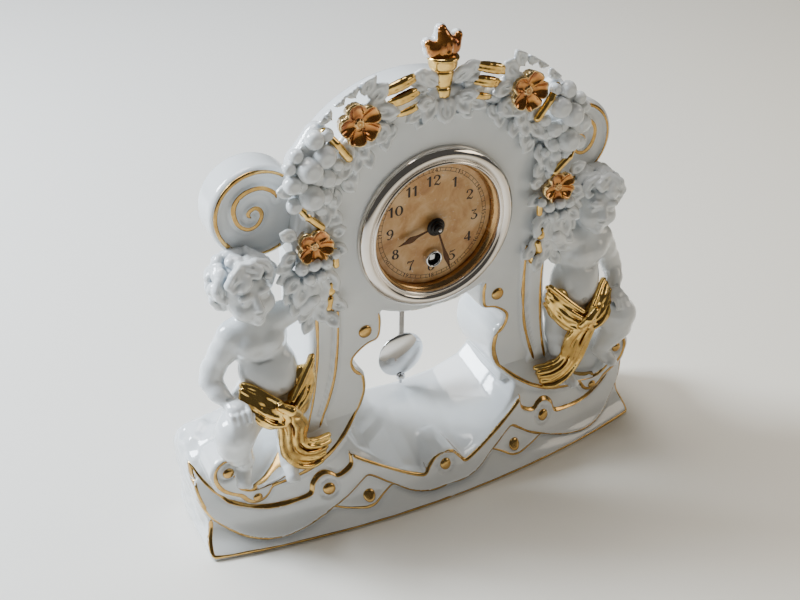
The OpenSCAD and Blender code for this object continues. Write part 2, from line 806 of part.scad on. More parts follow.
module back_plate() {
    color(brass) slab(rear_y, outer_y) difference() {
        disc_at(0, dial_z, plate_r);
        at_pillars() circle(spigot_r + pivot_gap);
        disc_at(0, dial_z, pivot_r + pivot_gap);
        disc_at(0, barrel_z, 1 + pivot_gap);
        disc_at(0, pivot_z, arbor_r + pivot_gap);
        train_holes(small_pivot_r + pivot_gap);
        for (a = case_screw_a)
            disc_at(screw_ring * cos(a), dial_z + screw_ring * sin(a), screw_r + pivot_gap);
    }
}

module pillars() {
    color(brass) {
        slab(inner_y, rear_y) at_pillars() circle(pillar_r);
        slab(plate_y - 0.4, outer_y + 1.6) at_pillars() circle(spigot_r);
    }
}

module pillar_nuts() {
    color(steel) slab(outer_y, outer_y + 1.2) difference() {
        at_pillars() circle(1.9, $fn = 6);
        at_pillars() circle(spigot_r + pivot_gap);
    }
}

post_r = 0.7;
small_arbor_r = 0.65;
small_pivot_r = 0.4;

// Involute teeth of a 30 degree stub form, with the tooth's middle on the first axis
function turn_in(a) = tan(a) * 180 / PI - a;
function half_tooth(n, m, r) = let (rp = n * m / 2, rb = rp * cos(pressure), q = max(r, rb))
    90 / n - backlash / rp * 180 / PI + turn_in(pressure) - turn_in(acos(rb / q));

module gear2d(n, m) {
    rp = n * m / 2;
    root = rp - dedendum * m;
    tip = rp + addendum * m;
    rb = rp * cos(pressure);
    radii = root < rb ? [root, rb, rp, tip] : [root, rp, tip];
    last = len(radii) - 1;
    polygon([for (k = [0:n - 1]) for (i = [0:2 * last + 1])
        let (r = i <= last ? radii[i] : radii[2 * last + 1 - i], side = i <= last ? -1 : 1,
            a = 360 / n * k + side * half_tooth(n, m, r))
            [r * cos(a), r * sin(a)]]);
}

// Wheel crossed out into arms
module wheel2d(n, m, hub, bore, arms) {
    rim = n * m / 2 - dedendum * m - 1.2;
    difference() {
        gear2d(n, m);
        difference() {
            circle(rim);
            circle(hub + 0.8);
            for (k = [0:arms - 1]) rotate(360 / arms * (k + 0.5)) translate([0, -0.7]) square([rim + 1, 1.4]);
        }
        if (bore > 0) circle(bore);
    }
}

module barrel() {
    color(brass) {
        slab(barrel_front, barrel_front + 1.6) translate([0, barrel_z]) difference() {
            rotate(90) gear2d(barrel_teeth, barrel_mod);
            circle(barrel_wall_r - 1);
        }
        slab(barrel_front, barrel_front + barrel_h) translate([0, barrel_z]) difference() {
            circle(barrel_wall_r);
            circle(barrel_wall_r - 1);
        }
        slab(barrel_front, barrel_front + 1) translate([0, barrel_z]) difference() {
            circle(barrel_wall_r - 0.5);
            circle(wind_r + loose_gap);
        }
    }
}

module barrel_cap() {
    color(brass) slab(barrel_front + barrel_h - 0.8, barrel_front + barrel_h) translate([0, barrel_z]) difference() {
        circle(barrel_wall_r - 1.05);
        circle(wind_r + loose_gap);
    }
}

module mainspring() {
    color(steel) slab(barrel_front + 1.2, barrel_front + barrel_h - 1) translate([0, barrel_z])
        spiral_band(wind_r + 1, barrel_wall_r - 1.1 - spring_t, spring_turns, 0, spring_t, spring_turns * 20);
}

module winding_arbor() {
    color(steel) {
        slab(dial_y - 0.4, plate_y - 3) translate([0, barrel_z]) square(square_w, center = true);
        slab(plate_y - 3, barrel_front + barrel_h + 0.5) disc_at(0, barrel_z, wind_r);
        slab(barrel_front + barrel_h + 0.4, outer_y) disc_at(0, barrel_z, 1);
    }
}

module ratchet_wheel() {
    color(steel) slab(ratchet_y, ratchet_y + 1) translate([0, barrel_z]) difference() {
        polygon([for (k = [0:ratchet_teeth - 1]) for (q = [[1, 0], [0.8, -3]])
            let (a = 360 / ratchet_teeth * k + q[1]) ratchet_r * q[0] * [cos(a), sin(a)]]);
        circle(wind_r + 0.02);
    }
}

click_nose = [(ratchet_r + 0.25) * cos(42), barrel_z + (ratchet_r + 0.25) * sin(42)];

module click() {
    color(steel) difference() {
        union() {
            slab(ratchet_y, ratchet_y + 1) disc_at(click_x, click_z, 1.4);
            slab(ratchet_y, ratchet_y + 1)
                polygon([click_nose, click_nose + [1.4, 0.9], [click_x + 0.9, click_z + 1], [click_x - 1.1, click_z - 0.8]]);
        }
        slab(ratchet_y - 1, ratchet_y + 2) disc_at(click_x, click_z, post_r + pivot_gap);
    }
}

module click_screw() {
    color(steel) {
        slab(ratchet_y - 0.3, inner_y) disc_at(click_x, click_z, post_r);
        slab(ratchet_y - 0.8, ratchet_y - 0.2) disc_at(click_x, click_z, 1.2);
    }
}

// Blade spring screwed to the plate, its free end just off the click's back
module click_spring() {
    color(steel) slab(plate_y - 0.9, plate_y) {
        disc_at(click_x + 7, click_z + 9, 1.6);
        polygon([[click_x + 6, click_z + 9], [click_x - 0.6, click_z + 3.1], [click_x - 0.3, click_z + 2.5],
            [click_x + 7, click_z + 8]]);
    }
}

module centre_wheel() {
    color(brass) {
        slab(minute_hand_y - 0.6, rear_y - 0.2) disc_at(0, dial_z, arbor_r);
        slab(rear_y - 0.3, outer_y) disc_at(0, dial_z, pivot_r);
        slab(inner_y + 0.4, inner_y + 2.7) translate([0, dial_z]) rotate(270 + 180 / centre_leaves)
            gear2d(centre_leaves, barrel_mod);
        slab(centre_y, centre_y + wheel_t) translate([0, dial_z]) rotate(third_a)
            wheel2d(centre_teeth, centre_mod, 2, 0, 5);
        slab(centre_y - 1, centre_y) disc_at(0, dial_z, 2);
    }
}

module third_wheel() {
    color(brass) translate([third_x, 0, third_z]) {
        slab(inner_y + 0.2, rear_y - 0.2) circle(small_arbor_r);
        slab(plate_y, outer_y) circle(small_pivot_r);
        slab(centre_y - 0.6, centre_y + 1.4) rotate(third_a + 180 + 180 / small_leaves)
            gear2d(small_leaves, centre_mod);
        slab(third_y, third_y + wheel_t) rotate(escape_a) wheel2d(third_teeth, third_mod, 1.4, 0, 5);
        slab(third_y - 1, third_y) circle(1.5);
    }
}

module escape_wheel() {
    color(brass) translate([0, 0, escape_z]) {
        slab(inner_y + 0.2, rear_y - 0.2) circle(small_arbor_r);
        slab(plate_y, outer_y) circle(small_pivot_r);
        slab(third_y - 0.6, third_y + 1.6) rotate(escape_a + 180 + 180 / small_leaves)
            gear2d(small_leaves, third_mod);
        slab(escape_y, escape_y + 0.6) difference() {
            polygon([for (k = [0:escape_teeth - 1]) for (q = [[1, 0], [1, 1.2], [0.84, 4], [0.84, 8]])
                let (a = 360 / escape_teeth * k + q[1]) escape_r * q[0] * [cos(a), sin(a)]]);
            difference() {
                circle(escape_r * 0.72);
                circle(2);
                for (k = [0:3]) rotate(45 + 90 * k) translate([0, -0.5]) square([escape_r, 1]);
            }
        }
        slab(escape_y - 0.8, escape_y) circle(1.4);
    }
}

module cannon_pinion() {
    color(steel) translate([0, 0, dial_z]) {
        slab(minute_hand_y, minute_y - 0.1) difference() {
            circle(cannon_r);
            circle(arbor_r + 0.02);
        }
        slab(minute_y - 0.1, minute_y + 0.9) difference() {
            rotate(minute_a) gear2d(cannon_teeth, cannon_mod);
            circle(arbor_r + 0.02);
        }
    }
}

module minute_wheel() {
    color(brass) translate([minute_x, 0, minute_z]) {
        slab(minute_y, minute_y + wheel_t) rotate(minute_a + 180 + 180 / minute_teeth)
            wheel2d(minute_teeth, cannon_mod, 1.6, post_r + pivot_gap, 4);
        slab(hour_y - 0.2, minute_y) difference() {
            rotate(minute_a + 180) gear2d(minute_leaves, hour_mod);
            circle(post_r + pivot_gap);
        }
    }
}

module minute_post() {
    color(steel) {
        slab(hour_y - 0.4, inner_y) disc_at(minute_x, minute_z, post_r);
        slab(hour_y - 0.8, hour_y - 0.3) disc_at(minute_x, minute_z, 1.1);
    }
}

module hour_wheel() {
    color(brass) translate([0, 0, dial_z]) {
        slab(hour_y, hour_y + wheel_t) rotate(minute_a + 180 / hour_teeth)
            wheel2d(hour_teeth, hour_mod, 2.2, cannon_r + pivot_gap, 4);
        slab(hour_hand_y, hour_y) difference() {
            circle(hour_pipe_r);
            circle(cannon_r + pivot_gap);
        }
    }
}

// Slim hand that swells to a leaf before its point
module hand(y, l, w, hub, bore, turned) {
    translate([0, 0, dial_z]) rotate([0, -turned, 0]) difference() {
        union() {
            slab(y, y + 0.4) circle(hub);
            slab(y, y + 0.4) polygon(whole(concat([[0, 0]], curve([[0.45, 0.1], [0.5, l * 0.45], [w / 2, l * 0.66],
                [0.5, l * 0.84], [0, l]], 3))));
        }
        slab(y - 1, y + 1) circle(bore);
    }
}

module hour_hand() {
    color(dark) hand(hour_hand_y, hour_l, 3, hour_pipe_r + 0.7, hour_pipe_r + 0.02, hour_a);
}

module minute_hand() {
    color(dark) hand(minute_hand_y, minute_l, 2.4, cannon_r + 0.9, cannon_r + 0.02, minute_shown_a);
}

module hand_nut() {
    color(dark) about_y(dial_z) polygon([[0, minute_hand_y - 1.6], [0.9, minute_hand_y - 1.6],
        [1.3, minute_hand_y - 0.7], [1.8, minute_hand_y - 0.6], [1.8, minute_hand_y], [arbor_r + 0.02, minute_hand_y],
        [arbor_r + 0.02, minute_hand_y - 0.6], [0, minute_hand_y - 0.6]]);
}

// Anchor, its arms held just clear of the escape wheel
module anchor() {
    color(steel) translate([0, 0, pivot_z]) {
        slab(inner_y + 0.2, rod_y - rod_t / 2 - 1.6) circle(arbor_r);
        slab(plate_y, inner_y + 0.3) circle(pivot_r);
        slab(escape_y - 0.1, escape_y + 0.8) polygon(whole([[0, 1.6], [4.2, 0.5], [7.7, -2.8], [7.5, -4], [6.4, -3.8],
            [6, -2.6], [3.6, -0.8], [0, -1.2]]));
    }
}

crutch_l = 15;
crutch_y = rod_y - rod_t / 2;

module crutch() {
    color(steel) {
        slab(crutch_y - 1.6, crutch_y - 1) disc_at(0, pivot_z, 2);
        slab(crutch_y - 1, crutch_y) {
            disc_at(0, pivot_z, 2);
            translate([-0.8, pivot_z - crutch_l - 1]) square([1.6, crutch_l]);
        }
        slab(crutch_y, rod_y + rod_t / 2 + 0.6) disc_at(0, pivot_z - crutch_l, 0.6);
    }
}

thread_r = 0.8;
nut_h = 2;
rod_end = bob_z - bob_r - nut_h - 3;

module pendulum_rod() {
    color(nickel) {
        slab(rod_y - rod_t / 2, rod_y + rod_t / 2) difference() {
            translate([-rod_w / 2, bob_z - bob_r + 1.5]) square([rod_w, pivot_z - crutch_l + 2.5 - bob_z + bob_r - 1.5]);
            disc_at(0, pivot_z - crutch_l, 0.6 + pivot_gap);
        }
        translate([0, rod_y, rod_end]) cylinder(r = thread_r, h = bob_z - bob_r + 2 - rod_end);
    }
}

module pendulum_bob() {
    color(nickel) difference() {
        translate([0, rod_y, 0]) about_y(bob_z) polygon([[0, -bob_t / 2], [bob_r * 0.5, -bob_t * 0.42],
            [bob_r * 0.85, -bob_t * 0.2], [bob_r, -0.3], [bob_r, 0.3], [bob_r * 0.85, bob_t * 0.2],
            [bob_r * 0.5, bob_t * 0.42], [0, bob_t / 2]]);
        slab(rod_y - rod_t / 2 - loose_gap, rod_y + rod_t / 2 + loose_gap)
            translate([-rod_w / 2 - loose_gap, bob_z - bob_r - 1]) square([rod_w + 2 * loose_gap, 2 * bob_r + 2]);
        translate([0, rod_y, bob_z - bob_r - 1]) cylinder(r = thread_r + loose_gap, h = 6);
    }
}

module rating_nut() {
    color(nickel) translate([0, rod_y, bob_z - bob_r - nut_h - 0.1]) difference() {
        cylinder(r = 2.4, h = nut_h);
        translate([0, 0, -1]) cylinder(r = thread_r + loose_gap, h = nut_h + 2);
    }
}

base();
left_leg();
right_leg();
arch();
left_scroll();
right_scroll();
left_putto();
right_putto();
left_drape();
right_drape();
left_garland();
right_garland();
left_grapes();
right_grapes();
upper_left_flower();
upper_right_flower();
lower_left_flower();
lower_right_flower();
torch_socket();
torch_flame();
bezel();
dial();
winding_collar();
movement_can();
clamp_ring();
clamp_screws();
case_screws();
front_plate();
back_plate();
pillars();
pillar_nuts();
click_spring();
click_screw();
click();
barrel();
barrel_cap();
mainspring();
winding_arbor();
ratchet_wheel();
centre_wheel();
third_wheel();
escape_wheel();
cannon_pinion();
minute_wheel();
minute_post();
hour_wheel();
hour_hand();
minute_hand();
hand_nut();
anchor();
crutch();
pendulum_rod();
pendulum_bob();
rating_nut();
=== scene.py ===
import math

import bmesh
import bpy
import numpy as np
from mathutils import Matrix, Vector
from mathutils.bvhtree import BVHTree


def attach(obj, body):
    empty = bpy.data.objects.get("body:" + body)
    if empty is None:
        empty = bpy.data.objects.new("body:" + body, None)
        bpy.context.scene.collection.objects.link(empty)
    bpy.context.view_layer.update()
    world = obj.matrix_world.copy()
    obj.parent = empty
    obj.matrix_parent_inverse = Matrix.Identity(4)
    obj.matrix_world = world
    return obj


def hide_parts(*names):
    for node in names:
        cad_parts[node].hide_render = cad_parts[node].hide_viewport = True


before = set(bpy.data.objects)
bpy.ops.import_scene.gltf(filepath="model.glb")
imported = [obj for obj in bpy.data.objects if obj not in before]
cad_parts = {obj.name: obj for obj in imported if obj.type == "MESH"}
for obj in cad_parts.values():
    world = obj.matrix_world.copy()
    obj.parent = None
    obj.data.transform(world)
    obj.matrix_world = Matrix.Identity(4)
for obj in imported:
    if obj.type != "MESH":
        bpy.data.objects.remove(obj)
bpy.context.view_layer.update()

# Camera, table and light.
# The photo looks down on the clock from its left front. A pale table fills the frame, a window
# stands behind it on the left, and the room in front gives the metal its dark reflections.
CAMERA_AT = Vector((-0.20185, -0.34887, 0.36130))
CAMERA_YAW = 0.492755
CAMERA_PITCH = 0.579129
CAMERA_ROLL = -0.016095
CAMERA_LENS = 47.378

forward = Vector((math.sin(CAMERA_YAW) * math.cos(CAMERA_PITCH), math.cos(CAMERA_YAW) * math.cos(CAMERA_PITCH),
                  -math.sin(CAMERA_PITCH)))
level = Vector((math.cos(CAMERA_YAW), -math.sin(CAMERA_YAW), 0))
down = forward.cross(level)
across = level * math.cos(CAMERA_ROLL) + down * math.sin(CAMERA_ROLL)
below = down * math.cos(CAMERA_ROLL) - level * math.sin(CAMERA_ROLL)
camera = bpy.data.objects.new("camera", bpy.data.cameras.new("camera"))
camera.data.lens = CAMERA_LENS
camera.data.clip_start = 0.01
camera.matrix_world = Matrix((across, -below, -forward)).transposed().to_4x4()
camera.location = CAMERA_AT
bpy.context.scene.collection.objects.link(camera)
bpy.context.scene.camera = camera


def fill(node, **values):
    """Named inputs and settings of a node"""
    for name, value in values.items():
        if name in node.inputs:
            node.inputs[name].default_value = value
        else:
            setattr(node, name, value)
    return node


def node_of(tree, kind, **values):
    """A new node, filled in"""
    return fill(tree.nodes.new(kind), **values)


def link(tree, *pairs):
    """Wires from one socket to another"""
    for start, end in pairs:
        tree.links.new(start, end)


def new_material(name):
    """A material with its tree, its shader and the object coordinates"""
    material = bpy.data.materials.new(name)
    material.use_nodes = True
    tree = material.node_tree
    shader = tree.nodes["Principled BSDF"]
    return material, tree, shader, node_of(tree, "ShaderNodeTexCoord").outputs["Object"]


def tones(tree, low_at, low, high_at, high):
    """A colour ramp from one tone to another"""
    ramp = node_of(tree, "ShaderNodeValToRGB")
    for k, (at, colour) in enumerate(((low_at, low), (high_at, high))):
        ramp.color_ramp.elements[k].position = at
        ramp.color_ramp.elements[k].color = (*colour, 1)
    return ramp


def table_surface():
    """Matt white paint, with painted warm light that grows towards the near right"""
    material, tree, shader, place = new_material("table_paint")
    turn = node_of(tree, "ShaderNodeMapping", Location=(0.45, 0.4, 0), Rotation=(0, 0, math.radians(40)),
                   Scale=(1.1, 1.1, 1.1))
    fade = node_of(tree, "ShaderNodeTexGradient", gradient_type="EASING")
    ramp = tones(tree, 0.0, (0.84, 0.83, 0.80), 1.0, (0.93, 0.86, 0.72))
    link(tree, (place, turn.inputs["Vector"]), (turn.outputs["Vector"], fade.inputs["Vector"]),
         (fade.outputs["Fac"], ramp.inputs["Fac"]), (ramp.outputs["Color"], shader.inputs["Base Color"]))
    fill(shader, Roughness=0.6)
    return material


table_mesh = bpy.data.meshes.new("table")
table_mesh.from_pydata([(-3, -3, 0), (3, -3, 0), (3, 3, 0), (-3, 3, 0)], [], [(0, 1, 2, 3)])
table_mesh.materials.append(table_surface())
table = bpy.data.objects.new("table", table_mesh)
bpy.context.scene.collection.objects.link(table)


def lamp(name, place, target, size, power, tint):
    """A soft window or card that faces the clock"""
    light = bpy.data.lights.new(name, "AREA")
    light.shape = "RECTANGLE"
    light.size, light.size_y = size
    light.energy = power
    light.color = tint
    thing = bpy.data.objects.new(name, light)
    thing.location = place
    thing.rotation_euler = (Vector(target) - Vector(place)).to_track_quat("-Z", "Y").to_euler()
    bpy.context.scene.collection.objects.link(thing)


CLOCK_MIDDLE = (0, 0, 0.11)
lamp("window", (-0.85, 0.62, 0.80), CLOCK_MIDDLE, (0.36, 0.5), 34, (0.82, 0.91, 1.0))
lamp("ceiling", (-0.25, 0.45, 1.6), CLOCK_MIDDLE, (0.9, 0.9), 21, (1.0, 0.98, 0.95))
lamp("far_wall", (1.1, -0.5, 0.7), (0.45, 0, 0), (0.7, 0.4), 3.0, (1.0, 0.88, 0.70))

world = bpy.data.worlds.new("room")
world.use_nodes = True
world.node_tree.nodes["Background"].inputs["Color"].default_value = (0.80, 0.79, 0.76, 1)
world.node_tree.nodes["Background"].inputs["Strength"].default_value = 0.10
bpy.context.scene.world = world

# Base.
# The base of the real clock is one hollow slip-cast porcelain piece with a bowed front, scrolls in
# relief and rough rounded ends, glazed all over. Here it is cut like clay on a fine grid.
MM = 0.001
HALF_W = 119.0
FRONT_Y = -30.0
BACK_Y = 30.0
FACE_Y = -5.0
SCROLL_Y = -12.8
BOW_R = 514.0
RELIEF = 1.9
GRAIN = 0.85
SWEEP = [(-4, 0.9), (0, 0.5), (2, 0.1), (4, 1.6), (8.4, 6.0), (14, 9.2), (25, 12), (36, 15.8), (45, 20.8), (56, 25.5)]


def curve(points, steps=6):
    """Smooth line through given points"""
    p = np.array(points, float)
    p = np.vstack([2 * p[0] - p[1], p, 2 * p[-1] - p[-2]])
    t = (np.arange(steps) / steps)[:, None]
    runs = [0.5 * (2 * b + (c - a) * t + (2 * a - 5 * b + 4 * c - d) * t ** 2 + (3 * b - a - 3 * c + d) * t ** 3)
            for a, b, c, d in zip(p, p[1:], p[2:], p[3:])]
    return np.vstack(runs + [p[-2:-1]])


def line_distance(points, x, z):
    """Distance in mm to an open line seen from the front"""
    far = np.full(np.broadcast(x, z).shape, 1e6)
    for (ax, az), (bx, bz) in zip(points, points[1:]):
        ex, ez = bx - ax, bz - az
        t = np.clip(((x - ax) * ex + (z - az) * ez) / (ex * ex + ez * ez + 1e-12), 0, 1)
        far = np.minimum(far, (x - ax - t * ex) ** 2 + (z - az - t * ez) ** 2)
    return np.sqrt(far)


def outline_distance(points, x, z):
    """Distance in mm to a closed outline seen from the front, negative inside it"""
    p = np.array([*points, points[0]], float)
    inside = np.zeros(np.broadcast(x, z).shape, bool)
    for (ax, az), (bx, bz) in zip(p, p[1:]):
        if az != bz:
            inside ^= ((z >= az) != (z >= bz)) & (x < ax + (z - az) * (bx - ax) / (bz - az))
    return np.where(inside, -1, 1) * line_distance(p, x, z)


def join(a, b, soft):
    """Two forms joined with a fillet of that size"""
    h = np.maximum(soft - np.abs(a - b), 0) / soft
    return np.minimum(a, b) - h * h * soft / 4


def keep(a, b, soft):
    """What two forms share, with its edges rounded"""
    return -join(-a, -b, soft)


class Clay:
    """A block of clay on a grid: distance to its surface in mm, negative inside"""

    def __init__(self, low, high, step):
        self.step = step
        self.low = np.array(low, float)
        self.axes = [np.arange(a, b + step, step) for a, b in zip(low, high)]
        self.d = np.full([len(a) for a in self.axes], 20.0, np.float32)

    def near(self, low, high):
        """The part of the grid inside a box, and its coordinates"""
        cut = tuple(slice(*np.searchsorted(a, (l, h))) for a, l, h in zip(self.axes, low, high))
        x, y, z = (a[c] for a, c in zip(self.axes, cut))
        return cut, x[:, None, None], y[None, :, None], z[None, None, :]

    def grid(self):
        """Coordinates of all nodes, ready to be combined"""
        x, y, z = self.axes
        return x[:, None, None], y[None, :, None], z[None, None, :]

    def front_view(self):
        """Coordinates across and up alone"""
        return self.axes[0][:, None], self.axes[2][None, :]

    def limb(self, a, b, ra, rb=None, soft=2.0, carve=False):
        """A rounded, tapering roll from one point to another"""
        rb = ra if rb is None else rb
        a, b = np.array(a, float), np.array(b, float)
        reach = max(ra, rb) + soft + 2 * self.step
        cut, x, y, z = self.near(np.minimum(a, b) - reach, np.maximum(a, b) + reach)
        v = b - a
        t = np.clip(((x - a[0]) * v[0] + (y - a[1]) * v[1] + (z - a[2]) * v[2]) / (v @ v + 1e-9), 0, 1)
        d = np.sqrt((x - a[0] - t * v[0]) ** 2 + (y - a[1] - t * v[1]) ** 2 + (z - a[2] - t * v[2]) ** 2)
        d -= ra + (rb - ra) * t
        self.d[cut] = keep(self.d[cut], -d, soft) if carve else join(self.d[cut], d, soft)

    def roll(self, points, radii, soft=1.0, carve=False):
        """Limbs end to end along a line of points"""
        radii = np.broadcast_to(radii, len(points))
        for a, b, ra, rb in zip(points, points[1:], radii, radii[1:]):
            self.limb(a, b, ra, rb, soft, carve)

    def ball(self, centre, radii, soft=2.0, turn=None, carve=False):
        """An egg of three radii, turned by a matrix if one is given"""
        radii = np.broadcast_to(np.array(radii, float), 3)
        centre = np.array(centre, float)
        reach = radii.max() + soft + 2 * self.step
        cut, x, y, z = self.near(centre - reach, centre + reach)
        p = [x - centre[0], y - centre[1], z - centre[2]]
        if turn is not None:
            p = [turn[i][0] * p[0] + turn[i][1] * p[1] + turn[i][2] * p[2] for i in range(3)]
        k = np.sqrt(sum((p[i] / radii[i]) ** 2 for i in range(3)))
        g = np.sqrt(sum((p[i] / radii[i] ** 2) ** 2 for i in range(3)))
        d = k * (k - 1) / np.maximum(g, 1e-6)
        self.d[cut] = keep(self.d[cut], -d, soft) if carve else join(self.d[cut], d, soft)


def sample(field, at):
    """Values of a grid between its nodes"""
    at = np.clip(at, 0, np.array(field.shape) - 1.001)
    first = at.astype(int)
    part = at - first
    total = 0
    for i in (0, 1):
        for j in (0, 1):
            for k in (0, 1):
                share = np.prod(np.where((i, j, k), part, 1 - part), 1)
                total = total + share * field[first[:, 0] + i, first[:, 1] + j, first[:, 2] + k]
    return total


def hollowness(clay, points):
    """How far each surface point lies in a crease: 0 on open ground and 1 deep inside"""
    at = (points - clay.low) / clay.step
    slope = np.stack([sample(clay.d, at + e) - sample(clay.d, at - e) for e in np.eye(3)], 1)
    steep = np.linalg.norm(slope, axis=1) + 1e-9
    slope /= steep[:, None]
    steep = np.clip(steep / (2 * clay.step), 0.35, 1.0)
    free = [sample(clay.d, at + slope * reach / clay.step) / (reach * steep) for reach in (0.9, 2.0)]
    return np.clip(1.0 - 0.5 * (free[0] + free[1]), 0, 1)


def skin(name, clay, mirror=False):
    """The surface of a block of clay as a closed mesh of small quads"""
    d = np.pad(clay.d, 1, constant_values=5.0)
    inside = d < 0
    size = [n - 1 for n in d.shape]
    corners = sum(inside[i:i + size[0], j:j + size[1], k:k + size[2]].astype(np.int8)
                  for i in (0, 1) for j in (0, 1) for k in (0, 1))
    mixed = (corners > 0) & (corners < 8)
    cells = np.argwhere(mixed)
    number = np.full(mixed.shape, -1, np.int32)
    number[mixed] = np.arange(len(cells))
    total = np.zeros((len(cells), 3))
    count = np.zeros(len(cells))
    for axis in range(3):
        for u in (0, 1):
            for v in (0, 1):
                near = np.zeros(3, int)
                near[(axis + 1) % 3], near[(axis + 2) % 3] = u, v
                far = near.copy()
                far[axis] = 1
                a, b = d[tuple((cells + near).T)], d[tuple((cells + far).T)]
                crossed = (a < 0) != (b < 0)
                t = a[crossed] / (a[crossed] - b[crossed])
                spot = np.repeat(near[None].astype(float), crossed.sum(), 0)
                spot[:, axis] = t
                total[crossed] += spot
                count[crossed] += 1
    points = clay.low - clay.step + (cells + total / count[:, None]) * clay.step
    quads = []
    for axis in range(3):
        first = [slice(1, -1)] * 3
        last = [slice(1, -1)] * 3
        first[axis], last[axis] = slice(0, -1), slice(1, None)
        change = inside[tuple(first)] != inside[tuple(last)]
        g = np.argwhere(change) + 1
        g[:, axis] -= 1
        u, v = np.zeros(3, int), np.zeros(3, int)
        u[(axis + 1) % 3] = v[(axis + 2) % 3] = 1
        q = np.stack([number[tuple((g - o).T)] for o in (0 * u, u, u + v, v)], 1)
        out = inside[tuple(g.T)]
        quads.append(np.where(out[:, None], q, q[:, ::-1]))
    quads = np.vstack(quads)
    hollow = hollowness(clay, points)
    if mirror:
        points = points * (-1, 1, 1)
        quads = quads[:, ::-1]
    piece = mesh_piece(name, points, quads)
    piece.data.attributes.new("hollow", "FLOAT", "POINT").data.foreach_set("value", hollow)
    return piece


def mesh_piece(name, points, faces, smooth=True):
    """An object at the origin whose mesh is given in mm"""
    mesh = bpy.data.meshes.new(name)
    mesh.from_pydata((np.asarray(points) * MM).tolist(), [], [list(map(int, f)) for f in faces])
    mesh.polygons.foreach_set("use_smooth", [smooth] * len(mesh.polygons))
    mesh.update()
    thing = bpy.data.objects.new(name, mesh)
    bpy.context.scene.collection.objects.link(thing)
    return thing


def settle(piece, material, body, slot, *nodes):
    """Material, body and the nodes that a finished piece stands for; the slot is not used"""
    piece.data.materials.clear()
    piece.data.materials.append(material)
    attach(piece, body)
    if nodes:
        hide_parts(*nodes)
    return piece


def blended(tree, share, first, second, target):
    """A colour that turns into another by a share"""
    blend = node_of(tree, "ShaderNodeMix", data_type="RGBA")
    colours = [i for i in blend.inputs if i.type == "RGBA"]
    colours[1].default_value = (*second, 1)
    result = next(o for o in blend.outputs if o.type == "RGBA")
    link(tree, (share, blend.inputs["Factor"]), (first, colours[0]), (result, target))


def ranged(tree, value, target, **ends):
    """A value brought from one range to another"""
    span = node_of(tree, "ShaderNodeMapRange", **ends)
    link(tree, (value, span.inputs["Value"]), (span.outputs["Result"], target))


def both_sides(ending, clay, material, slot, node):
    """A finished piece on the right and its mirror image on the left"""
    for side in ("right", "left"):
        settle(skin(side + ending, clay, mirror=side == "left"), material, "case", slot, side + node)


def in_hollows(tree, colour, deep, amount, target):
    """Painted shade: another colour where the surface is hollow"""
    hollow = node_of(tree, "ShaderNodeAttribute", attribute_name="hollow")
    share = node_of(tree, "ShaderNodeMapRange", **{"From Min": 0.06, "To Max": amount})
    link(tree, (hollow.outputs["Fac"], share.inputs["Value"]))
    blended(tree, share.outputs["Result"], colour, deep, target)


def porcelain_glaze():
    """White body under a clear glossy glaze, with painted shade in the hollows that is also tinted a little blue
    where glaze pools
    """
    material, tree, shader, place = new_material("glazed_porcelain")
    cloud = node_of(tree, "ShaderNodeTexNoise", Scale=38.0, Detail=3.0, Roughness=0.5)
    ripple = node_of(tree, "ShaderNodeTexNoise", Scale=160.0, Detail=2.0)
    tone = tones(tree, 0.3, (0.76, 0.79, 0.81), 0.7, (0.84, 0.86, 0.86))
    bump = node_of(tree, "ShaderNodeBump", Strength=0.12, Distance=0.0004)
    link(tree, (place, cloud.inputs["Vector"]), (place, ripple.inputs["Vector"]),
         (cloud.outputs["Fac"], tone.inputs["Fac"]), (ripple.outputs["Fac"], bump.inputs["Height"]),
         (bump.outputs["Normal"], shader.inputs["Normal"]))
    # Painted shade: creases and hollows darken to blue grey, partly the blue of pooled glaze.
    in_hollows(tree, tone.outputs["Color"], (0.33, 0.37, 0.41), 1.3, shader.inputs["Base Color"])
    ranged(tree, cloud.outputs["Fac"], shader.inputs["Roughness"], **{"To Min": 0.05, "To Max": 0.14})
    fill(shader, **{"IOR": 1.52, "Coat Weight": 0.4, "Coat Roughness": 0.03})
    return material


porcelain = porcelain_glaze()


def front_depth(x, z):
    """Depth of the bowed and flared front at a place seen from the front"""
    sweep = curve(SWEEP, 4)
    r = BOW_R - np.interp(z, sweep[:, 0], sweep[:, 1])
    return FRONT_Y + BOW_R - np.sqrt(r * r - x * x)


END_LINE = [(117, 0), (118.6, 3.5), (115.5, 10.5), (114.6, 16), (117.5, 26), (118.4, 37), (115, 44)]
SEAT_LINE = [(104, 46), (99, 35), (90, 31), (80, 32.5), (72, 36), (68.5, 44)]
BASE_LINE = np.vstack([[(-20, -3), (117.4, -3)], curve(END_LINE), curve(SEAT_LINE), [(40, 46), (-20, 46)]])
CRESCENT_LOW = [(0, 7), (10, 7), (20, 9.5), (30, 16), (36, 20.6), (40, 22.6), (44, 20), (50, 15.5), (58, 11.5),
                (66, 8.6), (75, 6.5), (85, 5.5), (95, 6.5), (104, 10), (113, 18), (118, 30), (117.5, 43)]
CRESCENT_TOP = [(117.5, 43), (115, 38), (110, 30.5), (105, 25.5), (97, 21.3), (90, 19.2), (83, 18.5), (75, 19),
                (68, 20.5), (66.3, 25), (63.5, 28.2), (60, 29.2), (57, 28), (54.5, 26.2), (51, 27), (47, 30),
                (46.8, 35.8)]
WAVE_TOP = [(46.8, 35.8), (40, 31.2), (30, 25), (20, 19), (13, 15.8), (10.5, 16), (8.5, 18.5), (5, 22.3), (0, 23.6)]
CRESCENT = np.vstack([[(-12, 7)], curve(CRESCENT_LOW), curve(CRESCENT_TOP), curve(WAVE_TOP), [(-12, 23.6)]])
DIAMOND = [(58, 11.2), (50, 9), (43, 7.6), (38, 8.2), (33, 11), (28, 14), (25, 13.6), (32, 19), (40, 25), (50, 17)]
